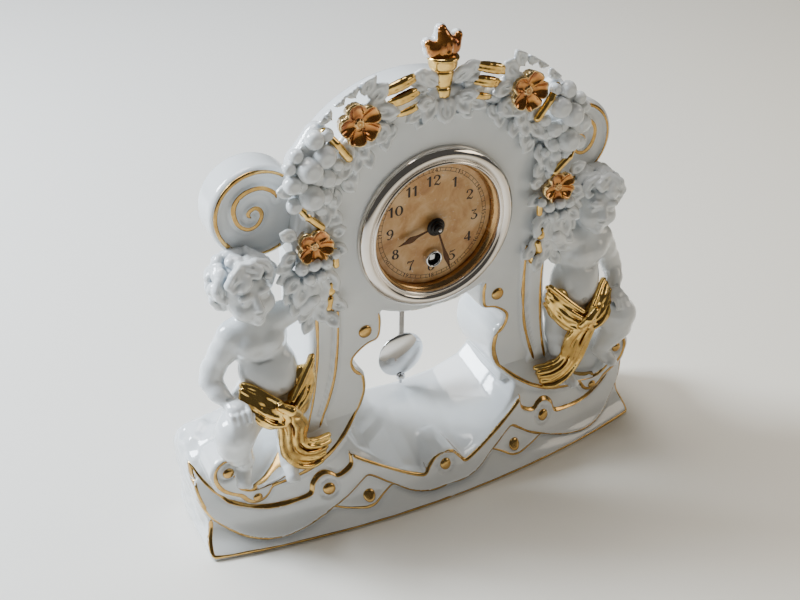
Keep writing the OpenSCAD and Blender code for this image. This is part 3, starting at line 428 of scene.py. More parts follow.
CURL_AT = (104.8, 46.2)
CURL_R = 8.2
SCROLL_LOW = [(112.6, 47), (111.6, 38), (108, 33), (103, 30), (99.5, 27), (97, 23.6), (92, 22), (88, 23.2),
              (85.6, 26.2), (84, 28.5), (75, 29), (65, 31.5), (55, 35.5), (50, 38.7), (44.6, 42.6), (40.3, 47),
              (36.4, 53.2), (34, 60)]
SCROLL_TOP = [(38, 60), (64, 60), (69, 46), (72, 37), (80, 33.2), (90, 31), (96, 32.5), (99.4, 37), (98, 42)]
SEAT_SCROLL = np.vstack([curve(SCROLL_LOW), curve(SCROLL_TOP)])
CURL_GROOVE = curve([(97, 33.5), (98.8, 37.5), (98, 42), (98.4, 47), (101.4, 50.6), (105.6, 50.8), (108.6, 47.8),
                     (108.2, 44), (105.4, 42.2), (102.8, 43.6)])
SADDLE_FRONT = [(0, 15.2), (12, 15.2), (20, 18.6), (28, 23.6), (38, 30), (46, 35.4), (50, 44), (54, 60)]
SADDLE_BACK = [(0, 32), (20, 33.6), (35, 38.6), (41, 45), (46, 60), (54, 60)]
MOUNDS = [((98, 10, 33), (21, 17, 19.5)), ((84, 15, 33), (16, 13, 14)), ((109, 15, 30), (10, 14, 19)),
          ((112, 17, 12), (7, 12.4, 13)), ((106, 20, 42), (11, 9, 9)), ((92, 22, 44), (12, 8, 8)),
          ((108, 4, 20), (9.5, 10, 18)), ((76, 21, 40), (10, 8, 9))]
BOSS_RINGS = ((59.4, 21.5, 4.4), (40.5, 12.4, 4.4), (0.0, 16.6, 4.6))
BASE_HOLLOWS = ((0, 5.5, 28, 19, 13), (64, 11, 30, 14, 22))

base_clay = Clay((-121.5, -32.5, -2.5), (121.5, 32.5, 61.0), GRAIN)
fx, fz = base_clay.front_view()
fx = np.abs(fx)
front = front_depth(fx, fz)
steep = np.sqrt(1 + np.gradient(front, GRAIN, axis=1) ** 2)
ahead = ((front[:, None, :] - base_clay.axes[1][None, :, None]) / steep[:, None, :])
gx, gy, gz = base_clay.grid()
gx = np.abs(gx)


def tall(plan):
    """A front-view value repeated through the depth"""
    return plan[:, None, :]


def saddle_height(x, y):
    """Height of the base between its ends, which rises towards the back"""
    share = np.clip((y + 18) / 46, 0, 1) ** 0.85
    low = np.interp(x, *np.array(SADDLE_FRONT).T)
    high = np.interp(x, *np.array(SADDLE_BACK).T)
    return low + (high - low) * share


body = keep(tall(outline_distance(BASE_LINE, fx, fz)), ahead, 1.6)
body = keep(body, (gz - saddle_height(gx, gy)) * 0.85, 1.2)
rocks = np.sin(gx * 0.55 + gz * 0.3) * np.sin(gy * 0.5 + 1.3) * np.sin(gz * 0.46 + gx * 0.12)
base_clay.d = body
for centre, radii in MOUNDS:
    for side in (-1, 1):
        base_clay.ball((centre[0] * side, *centre[1:]), radii, 4.0)
body = base_clay.d
body = np.where(gx > 80, body + 0.8 * rocks * np.clip((gy - FACE_Y) / 6, 0, 1) * np.clip((gx - 80) / 12, 0, 1), body)
body = keep(body, gx - HALF_W + 0.6, 3.0)
for plan, rise, blend in ((outline_distance(DIAMOND, fx, fz), 0.9, 0.8),
                          (outline_distance(CRESCENT, fx, fz), RELIEF, 0.9)):
    layer = keep(keep(tall(plan), ahead - rise, 1.6), gy - FACE_Y - 4, 0.5)
    body = join(body, layer, blend)
curl = np.hypot(fx - CURL_AT[0], fz - CURL_AT[1]) - CURL_R
plan = join(outline_distance(SEAT_SCROLL, fx, fz), curl, 1.5)
face = np.minimum(SCROLL_Y, front - RELIEF)
lean = np.clip((fz - 33) / 23, 0, 1) * np.clip((74 - fx) / 8, 0, 1)
face = face + lean ** 2 * (3 - 2 * lean) * (FACE_Y + 1.2 - face)
layer = keep(keep(tall(plan), tall(face) - gy, 1.8), gy - 2, 0.5)
groove = tall(1.1 - line_distance(CURL_GROOVE, fx, fz))
layer = keep(layer, join(groove, SCROLL_Y + 1.1 - gy, 0.6), 0.6)
body = join(body, layer, 1.0)
knob = keep(tall(np.hypot(fx - 104.9, fz - 46) - 3.0), SCROLL_Y - 0.4 - gy, 1.6)
body = join(body, keep(knob, gy, 0.5), 0.5)
for bx, bz, ring in BOSS_RINGS:
    trench = tall(0.7 - np.abs(np.hypot(fx - bx, fz - bz) - ring))
    body = keep(body, join(trench, ahead - RELIEF + 0.7, 0.5), 0.5)
body = keep(body, -gz, 0.8)
body = keep(body, gy - BACK_Y + 0.3, 2.5)
hollow = np.minimum(*(keep(keep(np.abs(gx - x) - wide, np.abs(gy - y) - deep, 1.5), gz - high, 1.5)
                      for x, y, wide, deep, high in BASE_HOLLOWS))
body = keep(body, -hollow, 0.6)
base_clay.d = body.astype(np.float32)
base = skin("porcelain_base", base_clay)
settle(base, porcelain, "case", "porcelain", "base")

# Case.
# Both legs, the hollow arch and the front face round the dial are one casting on the real clock,
# cast in a plaster mould and open behind. The pilaster strips on the legs stand slightly proud.
DIAL_Z = 138.7
ARCH_FRONT_R = 67.0
ARCH_BACK_R = 61.6
ARCH_TAPER = 5.4
ARCH_DEPTH = 35
ARCH_WALL = 6.5
LIP_Z = 101.5
LIP_RISE = 5.4
LIP_HALF = 26.3
LEG_INNER = [(40, 46), (36, 53), (33.6, 61), (33.8, 68), (35, 72), (38.3, 75), (39.8, 79.5), (38, 82.5), (33, 86),
             (28.5, 87.2), (26.3, 90), (25.6, 97), (26.3, 102.4)]
LIP = [(26.3, 102.4), (18, 99.2), (9, 97.4), (0, 97)]
LEG_OUTER = [(60.5, 127), (60.5, 102.4), (60.5, 92), (62, 75), (64.5, 60), (66.5, 53), (68.5, 46)]
CASE_LINE = np.vstack([curve(LEG_INNER)[:-1], curve(LIP), [(-15, 97), (-15, 150), (60, 150)], curve(LEG_OUTER),
                       [(70, 40), (40, 40)]])
STRIP = np.vstack([curve([(46.4, 119), (46.6, 108), (47, 95), (48.8, 75), (52, 62), (55.5, 54), (53, 47)]),
                   curve([(66, 47), (67.2, 52), (64.4, 60), (61.8, 75), (59.8, 95), (59.3, 112), (60.2, 119)])])
BORE_R = 35.2
NOTCH_HALF = 12.5
NOTCH_TOP = 106
NOTCH_FRONT = 15.6
STRIP_GROOVE = curve([(50.4, 118), (50, 106), (50.6, 92), (52.6, 76), (55.8, 64), (58.6, 56)])

case_clay = Clay((-71, -11, 34), (71, 31.5, 209.5), GRAIN)
fx, fz = case_clay.front_view()
fx = np.abs(fx)
gx, gy, gz = case_clay.grid()
gx = np.abs(gx)
radius = np.hypot(gx, gz - DIAL_Z)
cone = radius - (ARCH_FRONT_R + (ARCH_BACK_R - ARCH_FRONT_R) * (gy - FACE_Y) / (BACK_Y - FACE_Y))
legs = keep(tall(outline_distance(CASE_LINE, fx, fz)), gz - DIAL_Z, 0.1)
form = join(legs, keep(cone, tall(DIAL_Z - 3 - fz), 0.1), 1.5)
form = keep(form, FACE_Y - gy, 2.4)
form = keep(form, gy - BACK_Y + 0.3, 2.0)
strip = keep(keep(tall(outline_distance(STRIP, fx, fz)), FACE_Y - 1.3 - gy, 1.4), gy, 0.5)
strip = keep(strip, join(tall(0.8 - line_distance(STRIP_GROOVE, fx, fz)), FACE_Y - 0.4 - gy, 0.5), 0.5)
form = join(form, strip, 0.7)
inner = keep(radius - (ARCH_FRONT_R - ARCH_WALL - ARCH_TAPER * (gy - FACE_Y) / ARCH_DEPTH),
             tall(LIP_Z - fz + LIP_RISE * (fx / LIP_HALF) ** 2), 2.0)
form = keep(form, -keep(inner, FACE_Y + 5 - gy, 1.0), 0.6)
form = keep(form, -keep(gx - NOTCH_HALF, keep(gz - NOTCH_TOP, NOTCH_FRONT - gy, 0.5), 1.0), 0.5)
form = keep(form, BORE_R - radius, 0.5)
case_clay.d = form.astype(np.float32)
case = skin("porcelain_case", case_clay)
settle(case, porcelain, "case", "porcelain", "left_leg", "right_leg", "arch")

# Side scrolls.
# A thick snail-shell roll grows out of each side of the arch. Its outer edge is soft, and the
# spiral on its face stands between two shallow channels.
WING_AT = (77.0, 159.5)
WING_R = 20.5
WING_FACE = 3.5
WING_ROOT = 3.4
SPIRAL = curve([(69.1, 164.1), (70.1, 167.4), (75.3, 170.6), (81.5, 170.2), (86, 167.1), (87.6, 162.6), (86.2, 156.8),
                (82.2, 153.6), (78.2, 154.6), (76, 158), (76.4, 160.9), (78.4, 162.4), (80.9, 161.5), (81.6, 159.7),
                (80.4, 158.4)])
wing_clay = Clay((54, 1.2, 136.5), (100, 23.5, 182.5), 0.6)
fx, fz = wing_clay.front_view()
gx, gy, gz = wing_clay.grid()
rim = np.hypot(fx - WING_AT[0], fz - WING_AT[1]) - WING_R
wing = keep(tall(rim), np.abs(gy - 12) - 8.5, 3.4)
coil = line_distance(SPIRAL, fx, fz)
hollow = keep(rim + 3.4, 1.7 - coil, 1.4)
wing = keep(wing, -keep(tall(hollow), gy - WING_FACE - 0.9, 0.8), 0.8)
wing = keep(wing, join(tall(0.5 - coil), WING_FACE + 0.5 - gy, 0.4), 0.4)
inside_arch = np.hypot(gx, gz - DIAL_Z) - (ARCH_FRONT_R - WING_ROOT - ARCH_TAPER * (gy - FACE_Y) / ARCH_DEPTH)
wing_clay.d = keep(wing, -inside_arch, 0.5).astype(np.float32)
both_sides("_side_scroll", wing_clay, porcelain, "porcelain", "_scroll")

# Figures.
# The two boys are cast apart and stuck on with slip, so they merge softly with the seat. Each
# stands on the inner leg with the outer foot on the curl; skin, curls and face are plain glaze.
BODY_GRAIN = 0.55
HEAD_GRAIN = 0.36
HEAD_AT = np.array((87.3, -1.0, 129.4))
LOCKS = 30

body_clay = Clay((57, -27, 32), (113, 12.5, 124), BODY_GRAIN)
torso = [((83.6, -1.0, 104), (13.6, 8.8, 10.5)), ((80.4, -3.2, 90), (13.0, 9.8, 12)),
         ((79.0, -5.6, 84), (11.6, 9.4, 9.4)), ((80.5, -1.5, 75), (13.6, 9.6, 9.4)),
         ((79.0, 3.0, 76), (11.0, 6.5, 9)), ((90.2, -0.5, 110), (8.8, 6.4, 6)), ((77.4, -0.8, 112), (8.4, 6.4, 6.4))]
for centre, radii in torso:
    body_clay.ball(centre, radii, 4.0)
for centre, radii in (((79.2, -7.0, 105.4), (5.6, 3.8, 4.6)), ((88.8, -6.8, 105.2), (5.6, 3.8, 4.6)),
                      ((73.4, -7.4, 92.5), (3.6, 3.2, 5.0))):
    body_clay.ball(centre, radii, 2.6)
body_clay.limb((85.8, -0.6, 120), (84.4, -0.6, 111), 5.4, 6.2, 3.0)
outer_arm = [(95.2, -0.8, 108), (98.8, -0.2, 101), (103.2, 0.4, 93.5), (105.0, -0.6, 88.6), (103.6, -5.0, 84.8),
             (100.8, -9.6, 81.6)]
body_clay.roll(outer_arm, [6.0, 5.5, 5.0, 4.6, 4.0, 3.1], 2.2)
body_clay.ball((98.6, -13.4, 81.4), (4.6, 4.4, 2.5), 1.4)
for k in range(4):
    start = np.array((95.2 + 2.35 * k, -15.6 + 0.35 * k, 81.6 - 0.35 * k))
    body_clay.roll([start, start + (0, -3.4, -0.6), start + (0.1, -5.6, -3.6)], [1.35, 1.25, 1.0], 0.2)
body_clay.roll([(97.2, -12.4, 80.8), (94.2, -14.6, 79.8), (92.8, -17.0, 78.0)], [1.5, 1.3, 1.0], 0.8)
inner_arm = [(75.6, -1.6, 112.4), (70.6, -3.0, 114.2), (66.8, -5.2, 116.6), (63.6, -7.4, 119.4), (61.4, -8.8, 121.6)]
body_clay.roll(inner_arm, [6.0, 5.2, 4.4, 3.6, 2.9], 2.2)
body_clay.ball((60.4, -9.8, 122.2), (3.0, 2.6, 3.2), 1.4)
outer_leg = [(87.0, -2.4, 74.6), (94.6, -9.4, 72.4), (100.4, -15.0, 69.6), (101.4, -14.6, 62.4), (99.6, -13.2, 56.4),
             (97.2, -12.0, 50.8), (96.8, -10.4, 46.4)]
body_clay.roll(outer_leg, [9.6, 9.2, 8.6, 7.2, 5.8, 4.2, 4.0], 2.6)
body_clay.ball((101.0, -17.8, 71.6), (6.0, 5.4, 5.4), 3.0)
body_clay.roll([(97.0, -9.4, 44.6), (98.4, -13.4, 43.4), (99.8, -16.6, 41.8)], [3.8, 3.4, 2.8], 1.6)
inner_leg = [(75.4, -2.6, 74), (73.2, -6.2, 63), (73.2, -8.0, 54), (73.8, -8.4, 46), (74.8, -9.0, 40.0),
             (75.0, -9.4, 37.0)]
body_clay.roll(inner_leg, [9.8, 7.6, 6.2, 5.6, 4.1, 3.8], 2.4)
body_clay.roll([(75.2, -9.8, 36.6), (76.0, -13.4, 36.4), (76.8, -16.6, 35.6)], [3.7, 3.2, 2.6], 1.6)
for foot, spread in (((99.8, -17.6, 41.4), 1.25), ((76.8, -17.6, 35.2), 1.15)):
    for k in range(5):
        toe = np.array(foot) + ((k - 2) * spread, 0.28 * abs(k - 1.2) ** 1.5, 0)
        body_clay.limb(toe, toe + (0.1, -1.5, -0.5), 1.15 - 0.07 * k, 1.0 - 0.07 * k, 0.4)
body_clay.ball((78.6, -15.6, 83.6), (1.1, 1.6, 1.2), 1.0, carve=True)
for crease, r in (([(90.4, -8.6, 99), (86, -9.8, 97.8), (81, -10.6, 98.4)], 0.5),
                  ([(70, -9.8, 83), (75, -13.8, 79.8), (82, -15.0, 79.4)], 0.5),
                  ([(96.4, -14.0, 53.6), (99.6, -17.0, 52.8), (102.4, -15.4, 53.8)], 0.4),
                  ([(103.8, -7.4, 81.4), (101.2, -11.2, 84.0), (98.4, -10.8, 83.4)], 0.35)):
    body_clay.roll(crease, r, 1.2, carve=True)

face_turn = (Matrix.Rotation(math.radians(7), 3, "Y") @ Matrix.Rotation(math.radians(-2), 3,
                                                                        "X") @ Matrix.Rotation(math.radians(-8), 3,
                                                                                               "Z"))
turn_rows = [list(row) for row in face_turn.transposed()]
head_clay = Clay(HEAD_AT - (18.5, 20.5, 16.5), HEAD_AT + (18.5, 18.5, 20.5), HEAD_GRAIN)


def on_head(x, y, z):
    """A place given in the head's own directions"""
    return HEAD_AT + np.array(face_turn @ Vector((x, y, z)))


def head_ball(x, y, z, radii, soft=1.5, carve=False):
    """An egg that turns with the head"""
    head_clay.ball(on_head(x, y, z), radii, soft, turn_rows, carve)


head_ball(0, 1.0, 3.2, (11.0, 12.0, 11.2), 1)
head_ball(0, -3.2, -4.6, (8.8, 8.4, 8.8), 4)
for side in (-1, 1):
    head_ball(4.9 * side, -7.0, -4.8, (4.3, 3.9, 4.2), 2.2)
    head_ball(10.0 * side, 0.6, -2.0, (1.9, 2.8, 3.3), 1.2)
    head_ball(4.1 * side, -12.6, -0.2, (2.7, 2.3, 1.7), 1.6, carve=True)
    head_ball(4.1 * side, -9.1, -0.3, (2.3, 1.7, 1.5), 0.3)
    lid = [on_head(4.1 * side + dx, -10.75 + 0.06 * dx * dx, 0.75 - 0.16 * dx * dx) for dx in (-2.2, -1.1, 0, 1.1,
                                                                                               2.2)]
    head_clay.roll(lid, [0.25, 0.5, 0.55, 0.5, 0.25], 0.35)
    brow = [on_head(4.2 * side + dx, -11.0 + 0.1 * dx * dx, 3.3 - 0.12 * dx * dx) for dx in (-2.6, -1.2, 0.2, 1.6,
                                                                                             2.8)]
    head_clay.roll(brow, [0.5, 0.9, 1.0, 0.8, 0.4], 1.6)
    head_ball(1.35 * side, -11.4, -4.0, (1.0, 1.2, 0.9), 0.5)
    head_clay.limb(on_head(2.9 * side, -10.3, -7.5), on_head(3.1 * side, -10.1, -7.2), 0.3, 0.3, 0.8, carve=True)
head_clay.roll([on_head(0, -11.0, 1.2), on_head(0, -11.9, -1.4), on_head(0, -12.9, -3.5)], [0.9, 1.1, 1.45], 1.3)
head_clay.roll([on_head(-2.8, -10.2, -7.3), on_head(-1.2, -11.2, -6.7), on_head(0, -11.35, -6.95),
                on_head(1.2, -11.2, -6.7), on_head(2.8, -10.2, -7.3)],
               [0.3, 0.75, 0.65, 0.75, 0.3], 0.5)
head_clay.roll([on_head(-2.0, -10.4, -8.2), on_head(0, -11.1, -8.5), on_head(2.0, -10.4, -8.2)], [0.4, 0.9, 0.4], 0.5)
head_ball(0, -8.6, -11.2, (2.9, 2.4, 2.2), 1.8)
head_clay.limb(on_head(0, 0, -6), on_head(-0.4, 2.0, -15), 6.0, 5.6, 2.5)

random = np.random.default_rng(11)
for k in range(LOCKS):
    rise = 1 - 1.34 * (k + 0.5) / LOCKS
    spin = 2.39996 * k
    level_r = math.sqrt(max(0, 1 - rise * rise))
    out = Vector((level_r * math.sin(spin), level_r * math.cos(spin), rise))
    if out.y < -0.42 and out.z < 0.52 or out.y < -0.1 and out.z < -0.02:
        continue
    middle = Vector((out.x * 11.4, 1.4 + out.y * 12.4, 3.2 + out.z * 11.6))
    sideways = out.cross(Vector((0, 0, 1))).normalized() if abs(out.z) < 0.95 else Vector((1, 0, 0))
    upward = sideways.cross(out)
    size = 2.3 + 0.6 * random.random()
    begin = random.random() * 6.3
    hand = 1 if out.x > 0 else -1
    path, fat = [], []
    for n in range(5):
        a = begin + hand * n * 0.95
        r = size * (1 - 0.17 * n)
        spot = middle + (sideways * math.cos(a) + upward * math.sin(a)) * r + out * (-0.4 + 0.5 * n)
        path.append(on_head(*spot))
        fat.append(3.0 - 0.25 * n + 0.3 * random.random())
    head_clay.roll(path, fat, 0.55)
SIDE_LOCKS = (((9.8, -4.0, 8.6), (11.8, -4.4, 5.0), (11.4, -3.6, 1.4), (10.2, -4.8, -0.4), (9.6, -5.6, 0.8)),
              ((10.4, 1.0, 2.4), (12.2, 0.6, -1.4), (11.2, 0.4, -4.6), (10.0, -0.8, -5.6), (9.6, -1.6, -4.6)))
FRINGE = (((2.0, -7.8, 13.4), (-1.6, -9.6, 12.6), (-4.0, -10.8, 10.4), (-2.8, -11.4, 8.6), (-0.6, -11.4, 9.2)),
          ((-4.4, -8.2, 12.6), (-7.8, -8.6, 10.4), (-9.4, -8.2, 7.0), (-8.0, -9.6, 5.0), (-6.6, -10.2, 5.8)),
          ((3.2, -8.8, 12.8), (6.2, -9.8, 11.2), (8.4, -8.8, 8.0), (7.6, -9.8, 5.6), (5.8, -10.6, 6.4)),
          *([(x * side, y, z) for x, y, z in lock] for lock in SIDE_LOCKS for side in (-1, 1)))
FRINGE_WIDTH = 1.04
for curl in FRINGE:
    head_clay.roll([on_head(x * FRINGE_WIDTH, y + 1.0, z + 1.6) for x, y, z in curl], [2.2, 2.4, 2.1, 1.6, 1.0], 0.5)
    groove = [on_head(x * FRINGE_WIDTH, y - 1.0, z + 2.2) for x, y, z in curl[:3]]
    head_clay.roll(groove, [0.25, 0.45, 0.25], 0.8, carve=True)


def rub_down(clay, rounds):
    """Small steps in a block of clay made softer"""
    for n in range(rounds):
        d = np.pad(clay.d, 1, mode="edge")
        near = (d[2:, 1:-1, 1:-1] + d[:-2, 1:-1, 1:-1] + d[1:-1, 2:, 1:-1] + d[1:-1, :-2, 1:-1]
                + d[1:-1, 1:-1, 2:] + d[1:-1, 1:-1, :-2])
        clay.d = (0.4 * clay.d + 0.1 * near).astype(np.float32)


rub_down(head_clay, 3)
rub_down(body_clay, 1)
for side in ("right", "left"):
    boy = skin(side + "_figure_body", body_clay, mirror=side == "left")
    head = skin(side + "_figure_head", head_clay, mirror=side == "left")
    settle(boy, porcelain, "case", "porcelain", side + "_putto")
    settle(head, porcelain, "case", "porcelain")

# Drapery.
# Gilt cloth is modelled on the porcelain in soft folds and fired with bright gold over a white
# body. A sash sags across the hips to a knot, and its end falls to a ruffle by the leg.


def gilding(name, base, rough_low, rough_high, scale):
    """Fired gold on glaze, brighter where it is worn thin, with painted shade darkening its hollows to brown"""
    material, tree, shader, place = new_material(name)
    cloud = node_of(tree, "ShaderNodeTexNoise", Scale=scale, Detail=4.0, Roughness=0.6)
    tone = tones(tree, 0.32, (base[0] * 0.72, base[1] * 0.62, base[2] * 0.5), 0.68, base)
    bump = node_of(tree, "ShaderNodeBump", Strength=0.2, Distance=0.0003)
    link(tree, (place, cloud.inputs["Vector"]), (cloud.outputs["Fac"], tone.inputs["Fac"]),
         (cloud.outputs["Fac"], bump.inputs["Height"]), (bump.outputs["Normal"], shader.inputs["Normal"]))
    # Painted shade: the hollows of the gold darken to dark brown.
    in_hollows(tree, tone.outputs["Color"], (0.20, 0.075, 0.012), 1.6, shader.inputs["Base Color"])
    ranged(tree, cloud.outputs["Fac"], shader.inputs["Roughness"], **{"To Min": rough_low, "To Max": rough_high})
    fill(shader, Metallic=1.0)
    return material


bright_gold = gilding("bright_gold", (0.92, 0.64, 0.22), 0.08, 0.22, 260)
line_gold = gilding("burnished_line_gold", (0.62, 0.41, 0.15), 0.14, 0.3, 300)

drape_clay = Clay((53, -27, 32.5), (100, 2, 94), 0.45)


def folds(top, bottom, count, fat, sway=0.5):
    """Folds of cloth laid side by side from one edge to the other"""
    top, bottom = curve3(top, 5), curve3(bottom, 5)
    for k in range(count):
        share = k / (count - 1)
        line = top * (1 - share) + bottom * share
        along = np.linspace(0, 1, len(line))
        line[:, 1] += sway * np.sin(5.3 * along + 2.1 * k) + (0.9 if k % 2 else -0.3)
        drape_clay.roll(line, np.interp(along, (0, 0.5, 1), fat) + 0.15, 0.4)


def curve3(points, steps):
    """A smooth line in space through points"""
    flat = curve([(x, z) for x, y, z in points], steps)
    depth = np.interp(np.linspace(0, 1, len(flat)), np.linspace(0, 1, len(points)), [y for x, y, z in points])
    return np.stack([flat[:, 0], depth, flat[:, 1]], 1)


folds([(93.6, -9.0, 88.2), (89.6, -12.4, 86.8), (85.2, -15.6, 83.6), (80.8, -18.0, 80.6), (77.0, -19.2, 77.6)],
      [(96.0, -12.4, 82.4), (93.8, -17.0, 77.6), (90.4, -19.4, 73.6), (86.4, -20.2, 70.2), (81.0, -20.2, 68.6)], 8,
      (1.2, 1.15, 0.9))
folds([(75.6, -18.8, 80.4), (70.4, -15.6, 84.6), (66.0, -11.8, 88.8), (61.8, -8.4, 92.8)],
      [(72.6, -18.8, 69.6), (68.4, -15.8, 71.4), (64.6, -12.2, 76.0), (61.6, -8.4, 82.0)], 8, (0.9, 1.2, 1.1))
folds([(80.8, -19.0, 78.8), (82.4, -20.2, 71.4), (81.6, -19.0, 64.0), (81.0, -17.0, 55.4), (78.6, -15.6, 47.0),
       (73.4, -14.8, 39.8), (66.6, -14.2, 36.6), (61.2, -13.0, 36.8)],
      [(74.6, -19.0, 77.0), (72.4, -19.6, 70.6), (69.4, -17.8, 65.0), (69.2, -15.6, 58.8), (69.4, -14.6, 53.6),
       (66.6, -14.4, 50.2), (61.6, -14.0, 48.8), (56.4, -12.6, 48.0)], 8, (1.0, 1.0, 1.25), 0.5)
for spot, radii in (((89.4, -13.2, 79.4), (6.8, 4.4, 6.4)), ((84.4, -16.4, 75.8), (6.0, 3.6, 6.2)),
                    ((67.2, -9.9, 81.8), (6.2, 4.0, 8.6)), ((71.0, -13.9, 76.4), (5.0, 3.6, 6.4)),
                    ((77.0, -16.8, 72.6), (5.4, 3.2, 6.4)), ((75.6, -14.4, 60), (6.2, 3.0, 9.4)),
                    ((74.6, -12.9, 49), (6.0, 2.4, 7.0)), ((66.0, -11.3, 43.4), (8.0, 2.6, 6.4))):
    drape_clay.ball(spot, radii, 1.0)
drape_clay.roll([(81.4, -20.2, 79.8), (77.4, -21.2, 77.0), (74.2, -20.0, 73.6)], [2.2, 2.6, 1.9], 0.4)
drape_clay.roll([(80.0, -20.8, 75.6), (78.6, -21.2, 72.0)], [1.6, 1.2], 0.4)
both_sides("_drapery", drape_clay, bright_gold, "burnished_gold", "_drape")

# Gold lines.
# The outlines of the relief are painted freehand with a fine brush of liquid gold and fired. They
# are thin raised strips here, laid on the glaze, with the wavering width of a hand-drawn stroke.


def inset(points, by):
    """A line moved sideways, to the right of its own direction"""
    p = np.array(points, float)
    t = np.gradient(p, axis=0)
    t /= np.hypot(*t.T)[:, None] + 1e-9
    return p + by * np.stack([t[:, 1], -t[:, 0]], 1)


def surface_of(*pieces):
    """Search tree over finished pieces, in metres"""
    points, faces = [], []
    for piece in pieces:
        start = len(points)
        points += [v.co.copy() for v in piece.data.vertices]
        faces += [[start + i for i in face.vertices] for face in piece.data.polygons]
    return BVHTree.FromPolygons(points, faces)


LINE_STEP = 0.8
LINE_LIFT = 0.12
LINE_ROOT = 0.25
DEPTH_JUMP = 2.4
stroke_noise = np.random.default_rng(5)


def front_ray(tree, x, z):
    """Where a ray from the front meets a surface, and which way that surface faces"""
    return tree.ray_cast(Vector((x * MM, -0.06, z * MM)), Vector((0, 1, 0)), 0.12)[:2]


def stroke(points, width, tree, side=1, taper=True):
    """Cross-sections of a painted line laid on a surface seen from the front"""
    line = np.array(points, float)
    run = np.concatenate([[0], np.cumsum(np.hypot(*np.diff(line, axis=0).T))])
    length = run[-1]
    at = np.linspace(0, length, max(4, int(length / LINE_STEP)) + 1)
    px, pz = np.interp(at, run, line[:, 0]), np.interp(at, run, line[:, 1])
    tx, tz = np.gradient(px), np.gradient(pz)
    size = np.hypot(tx, tz) + 1e-9
    tx, tz = tx / size, tz / size
    beats = max(3, int(length / 7))
    waver = np.interp(at, np.linspace(0, length, beats), stroke_noise.uniform(0.7, 1.25, beats))
    half = width * waver / 2
    if taper:
        half = half * np.clip(np.minimum(at, length - at) / (1.6 * width) + 0.25, 0.25, 1)
    rings = []
    for x, z, ux, uz, h in zip(px, pz, tx, tz, half):
        ring = []
        for share, rise in ((-1, 0.0), (-0.55, 1.0), (0.55, 1.0), (1, 0.0)):
            hit, normal = front_ray(tree, (x - uz * h * share) * side, z + ux * h * share)
            if hit is None:
                ring = None
                break
            spot, normal = np.array(hit) / MM, np.array(normal)
            ring.append((spot + normal * (LINE_LIFT * rise + 0.02), spot - normal * LINE_ROOT))
        rings.append(ring)
    return rings


def paint(name, strokes):
    """One closed mesh of all strokes; a stroke is cut where it finds no surface or a step in depth"""
    points, faces = [], []
    for rings in strokes:
        runs, now = [], []
        for ring in rings:
            if ring is None:
                runs.append(now)
                now = []
            elif now and abs(ring[1][0][1] - now[-1][1][0][1]) > DEPTH_JUMP:
                runs.append(now)
                now = [ring]
            else:
                now.append(ring)
        runs.append(now)
        for run in runs:
            if len(run) < 3:
                continue
            first, last = len(points), len(points) + 6 * (len(run) - 1)
            for ring in run:
                points += [pair[0] for pair in ring] + [ring[3][1], ring[0][1]]
            for a in range(first, last, 6):
                faces += [(a + j, a + 6 + j, a + 6 + (j + 1) % 6, a + (j + 1) % 6) for j in range(6)]
            faces.append([first + j for j in range(6)])
            faces.append([last + j for j in range(5, -1, -1)])
    piece = mesh_piece(name, points, faces)
    tidy_normals(piece)
    return settle(piece, line_gold, "case", "burnished_gold")


def tidy_normals(piece):
    """Faces of a closed mesh turned outwards"""
    work = bmesh.new()
    work.from_mesh(piece.data)
    bmesh.ops.recalc_face_normals(work, faces=work.faces)
    work.to_mesh(piece.data)
    work.free()


base_tree = surface_of(base)
case_tree = surface_of(case)
both_tree = surface_of(base, case)
SEAT_TOP_LINE = curve([(101.4, 36.4), (99, 33.6), (96, 31.6), (92, 30.8), (86, 31.4), (80, 33), (73, 35.8)])
LOWER_GOLD = np.vstack([inset(curve(LEG_INNER[:5])[::-1], -1.5)[:-4],
                        curve([(46.4, 44.2), (51.6, 40.4), (57, 37.2), (65, 33.7), (75, 31.0), (84.6, 30.2)])[:-1],
                        curve([(84.6, 30.2), (86.2, 27.6), (88.6, 24.9), (92, 23.9), (95.2, 24.8), (97.6, 27.2),
                               (99.6, 30.2), (102.8, 32.4), (107.2, 36.2), (110.2, 41.4), (110.6, 47), (108.4, 50.8),
                               (104.6, 52.2), (100.6, 50.6), (98.8, 47.2), (99.6, 43.8), (102.6, 42.4)])])
BASE_STROKES = [
    (curve(CRESCENT_LOW[:-1]), 1.45, base_tree),
    (np.vstack([curve([(116.9, 43), (114.4, 38), (110, 31)])[:-1], curve(CRESCENT_TOP)[18:]]), 1.4, base_tree),
    (curve(WAVE_TOP) - (0, 1.1), 1.4, base_tree),
    (curve([(116.9, 43), (117.3, 36), (116.8, 30), (115, 23)]), 1.3, base_tree),
    (curve([(58.6, 11.6), (54, 9.9), (50, 8.9), (43, 7.7), (38, 8.2), (33, 11), (28, 13.6), (25, 13)]), 1.3,
     base_tree),
    (SEAT_TOP_LINE, 1.2, base_tree),
    (curve([(113.4, 17), (114.2, 12), (116, 7), (116.4, 3), (113.6, 2.2), (104, 1.9), (90, 1.7), (70, 1.6),
            (45, 1.5), (20, 1.5), (0, 1.5)]), 1.5, base_tree),
    (LOWER_GOLD, 1.9, both_tree)]
CASE_STROKES = [
    (inset(curve(LEG_INNER[4:]), 1.5), 1.7, case_tree),
    (curve([(26.6, 102.2), (18, 99.5), (9, 97.8), (0, 97.4)]), 0.7, case_tree),
    (curve([(48.0, 118), (48.0, 106), (48.4, 92), (50.2, 76), (53.4, 63.6), (56.6, 54.6), (58.4, 49.6)]), 1.5,
     case_tree),
    (curve([(58.0, 113), (57.9, 95), (59.4, 77), (61.6, 63), (64.2, 52), (65.2, 48.6)]), 1.3, case_tree)]
